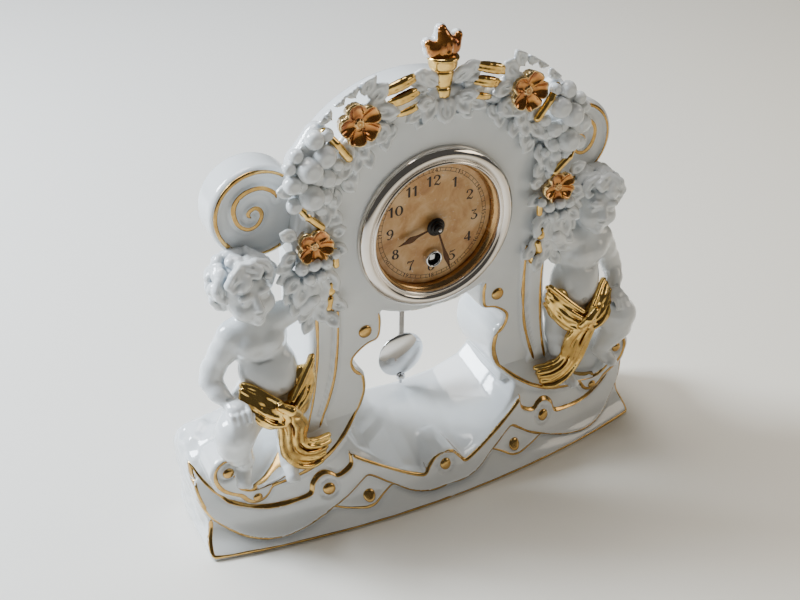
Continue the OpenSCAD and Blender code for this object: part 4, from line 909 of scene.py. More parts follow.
for name, strokes in (("base_gold_lines", BASE_STROKES), ("case_gold_lines", CASE_STROKES)):
    paint(name, [stroke(*line, side) for side in (-1, 1) for line in strokes])

DROP_PARTS = 24
DROP_RISE = 1.1
DROP_ROWS = ((1.0, 0.0), (0.93, 0.55), (0.7, 0.85), (0.35, 1.0))


def gilt_drops(name, places, tree):
    """Flat round drops of gold on the bosses"""
    points, faces = [], []
    for x, z, r in places:
        start = len(points)
        for share, height in DROP_ROWS:
            for k in range(DROP_PARTS):
                a = math.tau * k / DROP_PARTS
                px, pz = x + r * share * math.cos(a), z + r * share * math.sin(a)
                hit, normal = front_ray(tree, px, pz)
                spot = np.array((px, FACE_Y, pz)) if hit is None else np.array(hit) / MM
                points.append(spot - (0, DROP_RISE * height + 0.05, 0))
        points += [points[start + k] + (0, 0.5, 0) for k in range(DROP_PARTS)]
        top, root = start + DROP_PARTS * 3, start + DROP_PARTS * 4
        for row in range(3):
            for k in range(DROP_PARTS):
                a, b = start + DROP_PARTS * row + k, start + DROP_PARTS * row + (k + 1) % DROP_PARTS
                faces.append((a, b, b + DROP_PARTS, a + DROP_PARTS))
        faces.append([top + k for k in range(DROP_PARTS)])
        for k in range(DROP_PARTS):
            after = (k + 1) % DROP_PARTS
            faces.append((start + after, start + k, root + k, root + after))
        faces.append([root + k for k in range(DROP_PARTS - 1, -1, -1)])
    piece = mesh_piece(name, points, faces)
    tidy_normals(piece)
    return settle(piece, line_gold, "case", "burnished_gold")


BASE_DROPS = ((59.4, 21.5, 3.0), (40.5, 12.4, 3.0), (92.4, 26.6, 2.2), (104.9, 46.2, 2.6))
gilt_drops("base_gilt_drops", [(side * x, z, r) for side in (-1, 1) for x, z, r in BASE_DROPS] + [(0, 16.6, 2.9)],
           base_tree)
gilt_drops("case_gilt_drops", [(side * 34.5, 94.5, 3.2) for side in (-1, 1)], case_tree)
RIM_LINE_R = 18.2
rim_line = [(WING_AT[0] + RIM_LINE_R * math.cos(math.radians(a)), WING_AT[1] + RIM_LINE_R * math.sin(math.radians(a)))
            for a in range(128, -122, -6)]
wing_lines = []
for side, name in ((1, "right"), (-1, "left")):
    wing_tree = surface_of(bpy.data.objects[name + "_side_scroll"])
    wing_lines += [stroke(rim_line, 1.7, wing_tree, side, taper=False), stroke(SPIRAL[1:], 2.0, wing_tree, side)]
paint("scroll_gold_lines", wing_lines)

# Garland.
# Leaves, buds and berries were pressed in moulds one by one and stuck round the front of the arch,
# so they crowd over its edge. White glaze covers them, and a few ties between them are gilt.
GARLAND_R = 62.0
GARLAND_REACH = 82.5
UPPER_FLOWER = (38.8, 196.2)
LOWER_FLOWER = (59.3, 147.1)


def round_arch(radius, degrees, y):
    """A place on the front of the arch, by radius and angle from the dial's middle"""
    a = math.radians(degrees)
    return np.array((radius * math.cos(a), y, DIAL_Z + radius * math.sin(a)))


def leaf(clay, at, degrees, length, width, lean=0.15, thick=1.5):
    """A pressed leaf: a thick rounded blade, hollow like a spoon, with a short point"""
    a = math.radians(degrees)
    along = np.array((math.cos(a) * math.cos(lean), -math.sin(lean), math.sin(a) * math.cos(lean)))
    beside = np.array((-math.sin(a), 0, math.cos(a)))
    front = np.cross(along, beside)
    front *= -1 if front[1] > 0 else 1
    middle = np.array(at) + along * length * 0.5
    turn = [along, beside, front]
    wreath_d, clay.d = clay.d, np.full_like(clay.d, 5.0)
    clay.ball(middle, (length * 0.5, width * 0.5, thick), 0.7, turn)
    clay.ball(middle + along * length * 0.42, (length * 0.16, width * 0.12, thick * 0.6), 0.9, turn)
    clay.ball(middle + front * thick * 1.3, (length * 0.36, width * 0.3, thick * 0.9), 0.6, turn, carve=True)
    start = middle - along * length * 0.45 + front * thick * 0.75
    clay.limb(start, start + along * length * 0.5, 0.35, 0.2, 0.5)
    cut = clay.near(middle - length * 0.9, middle + length * 0.9)[0]
    wreath_d[cut] = join(wreath_d[cut], clay.d[cut], 0.4)
    clay.d = wreath_d


garland_clay = Clay((-9, -17.5, 98), (82, 1.5, 221), 0.5)
for begin, end, fat in ((88, 80, 3.2), (68, -24, 4.0)):
    rope = [round_arch(GARLAND_R - 0.4, a, -4.2) for a in np.linspace(begin, end, 12)]
    garland_clay.roll(rope, fat, 1.5)
garland_clay.roll([(55, -4.6, 193), (61, -4.8, 182), (62.5, -4.6, 167)], [5, 7, 5], 1.5)
leaves = np.random.default_rng(21)
for a in np.arange(87, -25, -5.0):
    if 68 < a < 80 or 52 < a < 62 or 2 < a < 13:
        continue
    if not 12 < a < 60:
        length = leaves.uniform(8, 10.5)
        leaf(garland_clay, round_arch(66.5 + leaves.uniform(-1, 1), a, -6.6 - leaves.uniform(0, 1.4)),
             a - 30 + leaves.uniform(-22, 22), length, length * 0.72, leaves.uniform(0.05, 0.3))
    length = leaves.uniform(6.4, 8.4)
    leaf(garland_clay, round_arch(57.5 + leaves.uniform(-1, 1), a, -6.4 - leaves.uniform(0, 1.2)),
         a + 215 + leaves.uniform(-22, 22), length, length * 0.78, leaves.uniform(0.05, 0.25))
    leaf(garland_clay, round_arch(GARLAND_R + leaves.uniform(-3, 2), a - 2.5, -8.2), a - 90 + leaves.uniform(-40, 40),
         8.5, 6.4, leaves.uniform(0.1, 0.35), 1.6)
LEAVES = (((49.8, 199.7), (56.2, 203.6), 7.6), ((39.8, 206.5), (44, 214.3), 6.8), ((36.5, 206.7), (32.9, 215), 6.4),
          ((33.6, 203.5), (27.4, 209.5), 8.2), ((32.4, 199.8), (22.8, 198.1), 7.4), ((33, 193.4), (26, 189.5), 7.4),
          ((44.6, 204.6), (50.4, 210.4), 6.4), ((59, 187), (66.4, 190), 7.8), ((46.4, 188.4), (41.6, 183.4), 6.6),
          ((38.6, 187.4), (35.6, 181.6), 6.4), ((66, 172.8), (73, 174.4), 6.4), ((66.4, 152), (72.6, 155.4), 6.2),
          ((51.6, 150), (45.8, 151.4), 6.4), ((51.4, 144), (45.4, 141), 6.2), ((67, 145), (72.8, 142), 6.0),
          ((1.6, 199.5), (0.6, 190.2), 7.6), ((5, 200.4), (9.8, 192.4), 7.2), ((8.4, 204.2), (16.4, 203.4), 6.8),
          ((7.6, 208.4), (13.6, 212), 6.2))
for base, tip, width in LEAVES:
    reach = math.dist(base, tip)
    leaf(garland_clay, (base[0], -8.0, base[1]), math.degrees(math.atan2(tip[1] - base[1], tip[0] - base[0])),
         reach * 1.12, width, 0.18, 1.8)
for x, z, aim, length, width in ((58.5, 133, -105, 13, 9), (63.5, 132, -70, 12, 8), (55.5, 134, -120, 12, 8),
                                 (66, 134, -40, 9, 7)):
    leaf(garland_clay, (x, -8.6, z), aim, length, width, 0.1, 2.0)
garland_clay.ball((59.5, -7.6, 123.5), (6.6, 3.4, 6.4), 1.0)
garland_clay.ball((62.6, -7.2, 117.4), (4.6, 2.6, 5.4), 1.0)
garland_clay.limb((57.6, -11.2, 126.6), (61.6, -10.2, 118.4), 0.35, 0.2, 0.8, carve=True)
for x, z, r in ((60.3, 139.4, 3.1), (65.6, 138.6, 2.9), (54.8, 138.6, 2.8), (57.4, 133.4, 2.7), (62.6, 133, 2.6),
                (50.6, 141.6, 2.2)):
    garland_clay.ball((x, -11.0, z), r, 0.4)
    garland_clay.ball((x, -11.0 - r, z), 0.6, 0.4, carve=True)
gx, gy, gz = garland_clay.grid()
for (x, z), r in ((UPPER_FLOWER, 6.5), (LOWER_FLOWER, 5.8)):
    shelf = np.maximum(np.hypot(gx - x, gz - z) - r, gy + 8.0)
    garland_clay.d = keep(garland_clay.d, -shelf, 0.6).astype(np.float32)
garland_clay.d = keep(garland_clay.d, np.hypot(gx, gz - DIAL_Z) - GARLAND_REACH, 0.5).astype(np.float32)
both_sides("_garland_leaves", garland_clay, porcelain, "porcelain", "_garland")

# Grapes.
# Each berry is a rolled ball of clay with a dimple where the modelling tool touched it. They are
# set out by Geometry Nodes on a list of points, larger towards the front of the bunch.


def new_rule(name, **settings):
    """An empty node group: geometry and named settings in, geometry out"""
    tree = bpy.data.node_groups.new(name, "GeometryNodeTree")
    tree.interface.new_socket(name="Geometry", in_out="INPUT", socket_type="NodeSocketGeometry")
    sockets = {}
    for label, (kind, value) in settings.items():
        sockets[label] = tree.interface.new_socket(name=label, in_out="INPUT", socket_type="NodeSocket" + kind)
        if value is not None:
            sockets[label].default_value = value
    tree.interface.new_socket(name="Geometry", in_out="OUTPUT", socket_type="NodeSocketGeometry")
    return tree, sockets, tree.nodes.new("NodeGroupInput"), tree.nodes.new("NodeGroupOutput")


def evaluated(thing, rule, sockets, name, **values):
    """The plain mesh that a node group makes, in place of the object it ran on"""
    modifier = thing.modifiers.new("rule", "NODES")
    modifier.node_group = rule
    for label, value in values.items():
        modifier[sockets[label].identifier] = value
    bpy.context.view_layer.update()
    graph = bpy.context.evaluated_depsgraph_get()
    mesh = bpy.data.meshes.new_from_object(thing.evaluated_get(graph))
    mesh.name = name
    thing.modifiers.remove(modifier)
    old = thing.data
    thing.data = mesh
    bpy.data.meshes.remove(old)
    thing.name = name
    mesh.polygons.foreach_set("use_smooth", [True] * len(mesh.polygons))
    return thing


def berry_rule():
    """Set a dimpled berry on every point, at the size that the point carries"""
    tree, sockets, begin, finish = new_rule("berries_on_points", Rings=("Int", 14), Dimple=("Float", 0.2),
                                            Material=("Material", None))
    ball = node_of(tree, "GeometryNodeMeshUVSphere", Segments=20, Radius=MM)
    turn = node_of(tree, "GeometryNodeTransform", Rotation=(math.radians(90), 0, 0))
    push = node_of(tree, "GeometryNodeSetPosition")
    place = node_of(tree, "GeometryNodeInputPosition")
    split = node_of(tree, "ShaderNodeSeparateXYZ")
    dent = node_of(tree, "ShaderNodeMapRange", **{"From Min": -0.86 * MM, "From Max": -MM})
    scale = node_of(tree, "ShaderNodeMath", operation="MULTIPLY")
    depth = node_of(tree, "ShaderNodeMath", operation="MULTIPLY")
    depth.inputs[1].default_value = MM * 2
    offset = node_of(tree, "ShaderNodeCombineXYZ")
    size = node_of(tree, "GeometryNodeInputNamedAttribute", data_type="FLOAT", Name="size")
    stand = node_of(tree, "GeometryNodeInstanceOnPoints")
    real = node_of(tree, "GeometryNodeRealizeInstances")
    dress = node_of(tree, "GeometryNodeSetMaterial")
    link(tree, (begin.outputs["Rings"], ball.inputs["Rings"]), (ball.outputs["Mesh"], turn.inputs["Geometry"]),
         (turn.outputs["Geometry"], push.inputs["Geometry"]), (place.outputs["Position"], split.inputs["Vector"]),
         (split.outputs["Y"], dent.inputs["Value"]), (dent.outputs["Result"], scale.inputs[0]),
         (begin.outputs["Dimple"], scale.inputs[1]), (scale.outputs["Value"], depth.inputs[0]),
         (depth.outputs["Value"], offset.inputs["Y"]), (offset.outputs["Vector"], push.inputs["Offset"]),
         (begin.outputs["Geometry"], stand.inputs["Points"]), (push.outputs["Geometry"], stand.inputs["Instance"]),
         (size.outputs["Attribute"], stand.inputs["Scale"]), (stand.outputs["Instances"], real.inputs["Geometry"]),
         (real.outputs["Geometry"], dress.inputs["Geometry"]), (begin.outputs["Material"], dress.inputs["Material"]),
         (dress.outputs["Geometry"], finish.inputs["Geometry"]))
    return tree, sockets


def points_piece(name, points, sizes):
    """Loose points in mm, each with its size"""
    mesh = bpy.data.meshes.new(name)
    mesh.from_pydata((np.array(points) * MM).tolist(), [], [])
    mesh.attributes.new("size", "FLOAT", "POINT").data.foreach_set("value", sizes)
    thing = bpy.data.objects.new(name, mesh)
    bpy.context.scene.collection.objects.link(thing)
    return thing


BERRIES = ((61, 182.2, 5.3), (54.8, 186.6, 4.9), (60.6, 170.2, 5.2), (58.2, 193.6, 3.9), (68, 176.8, 3.9),
           (53.4, 176.4, 3.7), (48.6, 181, 2.8), (67.4, 167.4, 3.3), (54.2, 168.6, 3.2), (50.2, 188.6, 2.9),
           (65.6, 188.2, 3.0), (62.2, 162.6, 3.0), (56.2, 163, 2.7), (52.6, 194.4, 2.8), (68.6, 183.6, 2.9),
           (48.8, 174.4, 2.4), (51, 165.4, 2.3), (64.8, 175.6, 3.4), (57.2, 177.2, 3.3))
bunch = [np.array((x, -7.4 - 0.9 * r, z)) for x, z, r in BERRIES]
fatness = [r for x, z, r in BERRIES]
berry_group, berry_sockets = berry_rule()
for side, hand in (("right", 1), ("left", -1)):
    berries = points_piece(side + "_grape_points", [b * (hand, 1, 1) for b in bunch], fatness)
    berries = evaluated(berries, berry_group, berry_sockets, side + "_grape_berries", Rings=14, Dimple=0.1,
                        Material=porcelain)
    settle(berries, porcelain, "case", "porcelain", side + "_grapes")

# Flowers.
# Four blossoms of five cupped petals, moulded and then fired with copper lustre. The lustre thins
# to gold on the rims and pools dark round the eye, which has a gilt bead.


def lustre_glaze():
    """Transparent copper lustre: gold at the rims and dark in the creases"""
    material, tree, shader, place = new_material("copper_lustre")
    cloud = node_of(tree, "ShaderNodeTexNoise", Scale=210.0, Detail=3.0, Roughness=0.55)
    edge = node_of(tree, "ShaderNodeAttribute", attribute_name="edge")
    tone = tones(tree, 0.3, (0.30, 0.085, 0.012), 0.72, (0.66, 0.30, 0.06))
    link(tree, (place, cloud.inputs["Vector"]), (cloud.outputs["Fac"], tone.inputs["Fac"]))
    blended(tree, edge.outputs["Fac"], tone.outputs["Color"], (0.9, 0.66, 0.3), shader.inputs["Base Color"])
    fill(shader, **{"Metallic": 0.85, "Roughness": 0.16, "Coat Weight": 0.7, "Coat Roughness": 0.04})
    return material


lustre = lustre_glaze()


PETAL_ROWS = 18
PETAL_PARTS = 100
FLOWER_Y = -8.2
FLOWER_BACK_Y = -7.0


def blossom(name, x, z, r, tilt, node):
    """Five cupped petals with creases between them round a ringed eye"""
    rows, parts = PETAL_ROWS, PETAL_PARTS
    points, edge = [], []
    for share in (j / rows for j in range(1, rows + 1)):
        for k in range(parts):
            a = math.tau * k / parts
            u = ((a + tilt) * 5 / math.tau) % 1 - 0.5
            gap = 0.5 - abs(u)
            petal = math.sqrt(max(1 - (2 * u) ** 2, 0.0))
            reach = r * (0.70 + 0.30 * petal - 0.03 * math.exp(-(u / 0.07) ** 2) + 0.01 * math.sin(31 * a + 2))
            from_heart = min(math.hypot(share - 0.62, 1.6 * u * share) / 0.5, 1.1)
            rise = 1.1 + 1.5 * share + 1.5 * from_heart ** 2 - 0.6 * math.exp(-(gap / 0.03) ** 2) * share
            if share < 0.28:
                rise = 1.7 + 1.5 * math.exp(-(share / 0.09) ** 2) + 1.3 * math.exp(-((share - 0.19) / 0.045) ** 2)
            points.append((x + reach * share * math.sin(a), FLOWER_Y - rise, z + reach * share * math.cos(a)))
            edge.append(max(math.exp(-((1 - share) / 0.05) ** 2), math.exp(-((share - 0.19) / 0.035) ** 2),
                            math.exp(-(share / 0.05) ** 2)))
    outer, top = parts * (rows - 1), len(points)
    points.append((x, FLOWER_Y - 2.4, z))
    back = len(points)
    points += [(x + (px - x) * 0.93, FLOWER_BACK_Y, z + (pz - z) * 0.93) for px, py, pz in points[outer:top]]
    edge += [1.0] + [0.6] * parts
    faces = []
    for j in range(rows - 1):
        for k in range(parts):
            a, b = parts * j + k, parts * j + (k + 1) % parts
            faces.append((a, b, b + parts, a + parts))
    faces += [(top, k, (k + 1) % parts) for k in range(parts)]
    for k in range(parts):
        after = (k + 1) % parts
        faces.append((outer + k, outer + after, back + after, back + k))
    faces.append([back + k for k in range(parts)])
    piece = mesh_piece(name, points, faces)
    piece.data.attributes.new("edge", "FLOAT", "POINT").data.foreach_set("value", edge)
    tidy_normals(piece)
    return settle(piece, lustre, "case", "copper_lustre", node)


for side, hand in (("right", 1), ("left", -1)):
    for level, (x, z), r, tilt in (("upper_", UPPER_FLOWER, 9.0, 0.3), ("lower_", LOWER_FLOWER, 8.0, -0.2)):
        blossom(level + side + "_blossom", x * hand, z, r, tilt * hand, level + side + "_flower")

# Gilt ties and torch.
# Gilt bands tie the garland together. On the crown stands a small torch with a gilt socket, and its
# flame is lustred amber in front and left white behind.
ties_clay = Clay((-82, -16, 100), (82, -2, 217), 0.5)
for hand in (-1, 1):
    for radius, first, last, r in ((73.2, 66.5, 80, 1.9), (67.4, 67.5, 80.5, 1.9), (61.2, 69, 80, 1.2)):
        for shift in (-0.9, 0.9):
            arc = [round_arch(radius + shift * r / 2, a,
                              -8.4 - 1.3 * math.sin((a - first) / (last - first) * math.pi)) * (hand, 1, 1)
                   for a in np.linspace(first, last, 7)]
            ties_clay.roll(arc, [r * 0.3, r * 0.62, r * 0.8, r * 0.85, r * 0.8, r * 0.62, r * 0.3], 0.3)
    for band, r in (([(53.5, -9.6, 195.6), (49.5, -11.2, 190.6), (44, -11, 183.2)], 1.7),
                    ([(66.6, -9.6, 168), (62.4, -11.6, 162), (56.2, -10.8, 155.6)], 1.6),
                    ([(50.4, -9.6, 142.6), (50.2, -10.4, 136)], 1.4), ([(53.0, -8.6, 127), (52.6, -9.4, 123.6)], 2.1),
                    ([(52.4, -8.2, 119), (53.4, -8.6, 115)], 1.6), ([(52.0, -6.6, 111.6), (51.8, -6.8, 109.6)], 2.4)):
        ties_clay.roll([np.array(b) * (hand, 1, 1) for b in band], r, 0.5)
ties = skin("gilt_ties", ties_clay)
settle(ties, bright_gold, "case", "burnished_gold")


def lathe(name, profile, centre, around="Y", parts=96, closed=False):
    """A profile of radius and depth in mm turned about an axis"""
    points, faces = [], []
    n = len(profile)
    for k in range(parts):
        a = math.tau * k / parts
        for r, t in profile:
            if around == "Y":
                points.append((centre[0] + r * math.cos(a), t, centre[2] + r * math.sin(a)))
            else:
                points.append((centre[0] + r * math.cos(a), centre[1] + r * math.sin(a), t))
    for k in range(parts):
        for j in range(n if closed else n - 1):
            a, b = n * k + j, n * k + (j + 1) % n
            c, d = n * ((k + 1) % parts) + j, n * ((k + 1) % parts) + (j + 1) % n
            faces.append((a, b, d, c))
    if not closed:
        faces.append([n * k for k in range(parts)])
        faces.append([n * k + n - 1 for k in range(parts)])
    piece = mesh_piece(name, points, faces)
    tidy_normals(piece)
    return piece


torch_profile = curve([(2.6, 198.6), (3.4, 199.6), (3.7, 202.4), (3.2, 203.6), (3.9, 204.6), (4.5, 209.4),
                       (4.2, 210.4), (5.6, 211.4), (6.2, 214.2), (6.7, 215.4), (6.2, 216.2)], 4)
socket_piece = lathe("gilt_torch_socket", torch_profile, (0, -5.4, 0), "Z", 48)
settle(socket_piece, bright_gold, "case", "burnished_gold", "torch_socket")


def flame(clay, grow, shift):
    """Three blunt tongues with channels between them"""
    clay.roll([(0, shift, 215.5), (0.6, shift, 220.4), (-0.8, shift, 226.4 - grow * 0.4)],
              [4.0 + grow, 4.6 + grow, 2.0 + grow], 1.0)
    clay.roll([(-1.6, shift, 215.8), (-4.4, shift, 219.2), (-6.6, shift, 221.4)],
              [3.4 + grow, 3.4 + grow, 1.9 + grow], 0.6)
    clay.roll([(1.6, shift, 215.8), (4.4, shift, 219.2), (6.6, shift, 223.0)], [3.4 + grow, 3.2 + grow, 1.9 + grow],
              0.6)
    for line in ([(-2.4, 222.5), (-2.8, 216.5)], [(2.6, 222.5), (3.0, 216.5)], [(0.3, 225), (0.2, 219)],
                 [(-6.4, 221.6), (-4.6, 217.6)], [(6.4, 221.6), (4.8, 217.6)]):
        clay.roll([(a, shift - 4.6 - grow * 0.5, b) for a, b in line], 0.8, 1.0, carve=True)


flame_clay = Clay((-12, -12, 212), (12, 3, 229.4), 0.4)
flame(flame_clay, 0.0, -5.2)
flame_piece = skin("amber_torch_flame", flame_clay)
settle(flame_piece, lustre, "case", "copper_lustre", "torch_flame")
back_clay = Clay((-12, -10, 212), (12, 5, 229.6), 0.4)
flame(back_clay, 0.5, -3.9)
settle(skin("white_torch_back", back_clay), porcelain, "case", "porcelain")

# Bezel.
# A drawn and nickelled brass ring with a broad convex face and a polished bead inside it. It
# stands round the dial on the front of the case, and its inner rim shows brass.


BEZEL_R = 34.0
BEZEL_PARTS = 180


def metal(name, base, rough_low, rough_high, scale, stain, metallic=1.0):
    """Metal whose colour and polish drift a little over the surface"""
    material, tree, shader, place = new_material(name)
    cloud = node_of(tree, "ShaderNodeTexNoise", Scale=scale, Detail=5.0, Roughness=0.6)
    tone = tones(tree, 0.35, [c * stain for c in base], 0.62, base)
    link(tree, (place, cloud.inputs["Vector"]), (cloud.outputs["Fac"], tone.inputs["Fac"]),
         (tone.outputs["Color"], shader.inputs["Base Color"]))
    ranged(tree, cloud.outputs["Fac"], shader.inputs["Roughness"], **{"To Min": rough_low, "To Max": rough_high})
    fill(shader, Metallic=metallic)
    return material


def swept_rule():
    """Sweep a closed profile round a circle and stand the ring upright"""
    tree, sockets, begin, finish = new_rule("profile_round_circle", Radius=("Float", 0.03), Parts=("Int", 160),
                                            Centre=("Vector", None), Material=("Material", None))
    outline = node_of(tree, "GeometryNodeMeshToCurve")
    circle = node_of(tree, "GeometryNodeCurvePrimitiveCircle")
    sweep = node_of(tree, "GeometryNodeCurveToMesh")
    stand = node_of(tree, "GeometryNodeTransform", Rotation=(math.radians(90), 0, 0))
    real = node_of(tree, "GeometryNodeRealizeInstances")
    dress = node_of(tree, "GeometryNodeSetMaterial")
    link(tree, (begin.outputs["Geometry"], outline.inputs["Mesh"]),
         (begin.outputs["Radius"], circle.inputs["Radius"]), (begin.outputs["Parts"], circle.inputs["Resolution"]),
         (circle.outputs["Curve"], sweep.inputs["Curve"]), (outline.outputs["Curve"], sweep.inputs["Profile Curve"]),
         (sweep.outputs["Mesh"], stand.inputs["Geometry"]), (begin.outputs["Centre"], stand.inputs["Translation"]),
         (stand.outputs["Geometry"], real.inputs["Geometry"]), (real.outputs["Geometry"], dress.inputs["Geometry"]),
         (begin.outputs["Material"], dress.inputs["Material"]),
         (dress.outputs["Geometry"], finish.inputs["Geometry"]))
    return tree, sockets


def ring_piece(name, profile, material, *nodes):
    """A ring swept by the rule from a closed profile of distance from the circle and depth in mm"""
    n = len(profile)
    mesh = bpy.data.meshes.new(name)
    mesh.from_pydata([(a * MM, b * MM, 0) for a, b in profile], [(k, (k + 1) % n) for k in range(n)], [])
    thing = bpy.data.objects.new(name, mesh)
    bpy.context.scene.collection.objects.link(thing)
    thing = evaluated(thing, ring_rule, ring_sockets, name, Radius=BEZEL_R * MM, Parts=BEZEL_PARTS,
                      Centre=(0, 0, DIAL_Z * MM), Material=material)
    tidy_normals(thing)
    return settle(thing, material, "case", "nickel", *nodes)


ring_rule, ring_sockets = swept_rule()
polished_nickel = metal("polished_nickel", (0.80, 0.74, 0.68), 0.05, 0.12, 60, 0.9)
old_brass = metal("old_brass", (0.56, 0.34, 0.15), 0.18, 0.34, 120, 0.7)
bezel_face = curve([(4.0, -5.1), (4.0, -5.9), (3.4, -7.5), (2.0, -8.6), (0.4, -8.9), (-1.0, -8.4), (-1.7, -7.6)], 4)
bezel_bead = curve([(-1.9, -7.7), (-2.2, -8.3), (-2.8, -8.6), (-3.3, -8.2), (-3.6, -7.4), (-3.6, -6.2)], 3)
ring_piece("bezel_ring", np.vstack([bezel_face, bezel_bead, [(-3.4, -5.4), (0, -5.1)]]), polished_nickel, "bezel")
ring_piece("bezel_inner_rim", [(-3.3, -6.2), (-3.8, -6.4), (-4.9, -3.9), (-5.1, -2.2), (-4.4, -2.1), (-4.0, -3.9)],
           old_brass)

# Dial.
# A card printed and varnished, browned with age and marbled with pale streaks. The print is one
# dark ink: a railway minute track broken by 13 to 24, and bold upright hours with thick and thin.


def card():
    """Varnished card, mottled brown with pale scuffs"""
    material, tree, shader, place = new_material("browned_card")
    cloud = node_of(tree, "ShaderNodeTexNoise", Scale=75.0, Detail=5.0, Roughness=0.62, Distortion=0.6)
    scuff = node_of(tree, "ShaderNodeTexNoise", Scale=330.0, Detail=3.0, Roughness=0.7, Distortion=1.5)
    tone = tones(tree, 0.30, (0.42, 0.18, 0.05), 0.66, (0.78, 0.51, 0.25))
    tone.color_ramp.elements.new(0.46).color = (0.60, 0.315, 0.105, 1)
    worn = node_of(tree, "ShaderNodeMapRange", **{"From Min": 0.60, "From Max": 0.78})
    link(tree, (place, cloud.inputs["Vector"]), (place, scuff.inputs["Vector"]),
         (cloud.outputs["Fac"], tone.inputs["Fac"]), (scuff.outputs["Fac"], worn.inputs["Value"]))
    blended(tree, worn.outputs["Result"], tone.outputs["Color"], (0.78, 0.62, 0.42), shader.inputs["Base Color"])
    fill(shader, **{"Roughness": 0.42, "Coat Weight": 0.25, "Coat Roughness": 0.2})
    return material


def loop_of(cx, cy, rx, ry, thick, thin):
    """A closed oval stroke, thick at the sides and thin at top and bottom"""
    return [(cx + rx * math.sin(t), cy + ry * math.cos(t), thin + (thick - thin) * abs(math.sin(t)) ** 1.5)
            for t in np.linspace(0, math.tau, 17)]


SIX = [(0.66, 0.90, 0.13), (0.40, 0.93, 0.08), (0.16, 0.50, 0.21), (0.20, 0.14, 0.14), (0.42, 0.03, 0.08),
       (0.66, 0.26, 0.21), (0.46, 0.54, 0.07), (0.22, 0.40, 0.05)]
STROKES = {
    "0": [loop_of(0.42, 0.5, 0.30, 0.45, 0.22, 0.07)],
    "1": [[(0.42, 0.0, 0.21), (0.42, 0.98, 0.21)], [(0.46, 0.96, 0.05), (0.14, 0.72, 0.13)]],
    "2": [[(0.12, 0.68, 0.17), (0.18, 0.91, 0.10), (0.42, 0.96, 0.08), (0.64, 0.76, 0.21), (0.52, 0.50, 0.13),
           (0.22, 0.22, 0.06), (0.12, 0.08, 0.05)],
          [(0.10, 0.08, 0.09), (0.34, 0.13, 0.15), (0.58, 0.04, 0.13), (0.76, 0.20, 0.05)]],
    "3": [[(0.14, 0.92, 0.13), (0.40, 0.90, 0.10), (0.64, 0.97, 0.07)],
          [(0.64, 0.96, 0.05), (0.34, 0.60, 0.07), (0.56, 0.52, 0.10), (0.68, 0.30, 0.21), (0.50, 0.05, 0.10),
           (0.24, 0.03, 0.08), (0.12, 0.20, 0.17)]],
    "4": [[(0.56, 0.0, 0.21), (0.56, 0.98, 0.21)], [(0.58, 0.97, 0.05), (0.08, 0.32, 0.09)],
          [(0.05, 0.30, 0.11), (0.80, 0.30, 0.11)]],
    "5": [[(0.22, 0.91, 0.13), (0.44, 0.89, 0.12), (0.72, 0.98, 0.07)],
          [(0.22, 0.92, 0.08), (0.18, 0.56, 0.05), (0.42, 0.60, 0.10), (0.66, 0.34, 0.21), (0.50, 0.05, 0.10),
           (0.24, 0.03, 0.08), (0.12, 0.18, 0.17)]],
    "6": [SIX],
    "7": [[(0.10, 0.74, 0.09), (0.16, 0.92, 0.15), (0.44, 0.88, 0.12), (0.74, 0.97, 0.06), (0.46, 0.50, 0.13),
           (0.36, 0.0, 0.21)]],
    "8": [loop_of(0.42, 0.74, 0.20, 0.20, 0.19, 0.07), loop_of(0.42, 0.26, 0.25, 0.23, 0.22, 0.08)],
    "9": [[(0.84 - x, 0.97 - y, w) for x, y, w in SIX]],
}
INK_FRONT, INK_BACK = -2.04, -1.98
ink_points, ink_faces = [], []


def ink(line, where):
    """One pen stroke of changing width, laid flat on the card"""
    path = curve([(x, y) for x, y, w in line], 4) if len(line) < 12 else np.array([(x, y) for x, y, w in line])
    widths = np.interp(np.linspace(0, 1, len(path)), np.linspace(0, 1, len(line)), [w for x, y, w in line])
    slope = np.gradient(path, axis=0)
    slope /= np.linalg.norm(slope, axis=1)[:, None]
    beside = np.stack([-slope[:, 1], slope[:, 0]], 1) * widths[:, None] / 2
    start = len(ink_points)
    lift = 0.0006 * (start % 17)
    for spot, out in zip(path, beside):
        for way, y in ((1, INK_FRONT - lift), (-1, INK_FRONT - lift), (-1, INK_BACK), (1, INK_BACK)):
            x, z = where(*(spot + out * way))
            ink_points.append((x, y, z))
    for k in range(len(path) - 1):
        for j in range(4):
            a, b = start + 4 * k + j, start + 4 * k + (j + 1) % 4
            ink_faces.append((a, b, b + 4, a + 4))
    ink_faces.append([start + j for j in range(4)])
    ink_faces.append([start + 4 * (len(path) - 1) + j for j in range(4)])


def figure(text, middle, height, turn):
    """A number of one or two digits, centred, with its top turned by an angle"""
    widths = [0.62 if digit == "1" else 0.86 for digit in text]
    pen = -sum(widths) / 2
    for digit, width in zip(text, widths):
        shift = pen - (0.11 if digit == "1" else 0.0)
        for line in STROKES[digit]:
            ink(line, lambda x, y: (middle[0] + height * ((x + shift) * math.cos(turn) + (y - 0.5) * math.sin(turn)),
                                    middle[1] + height * ((y - 0.5) * math.cos(turn) - (x + shift) * math.sin(turn))))
        pen += width


def straight(x, y):
    """A place on the dial that is given as it is"""
    return x, y


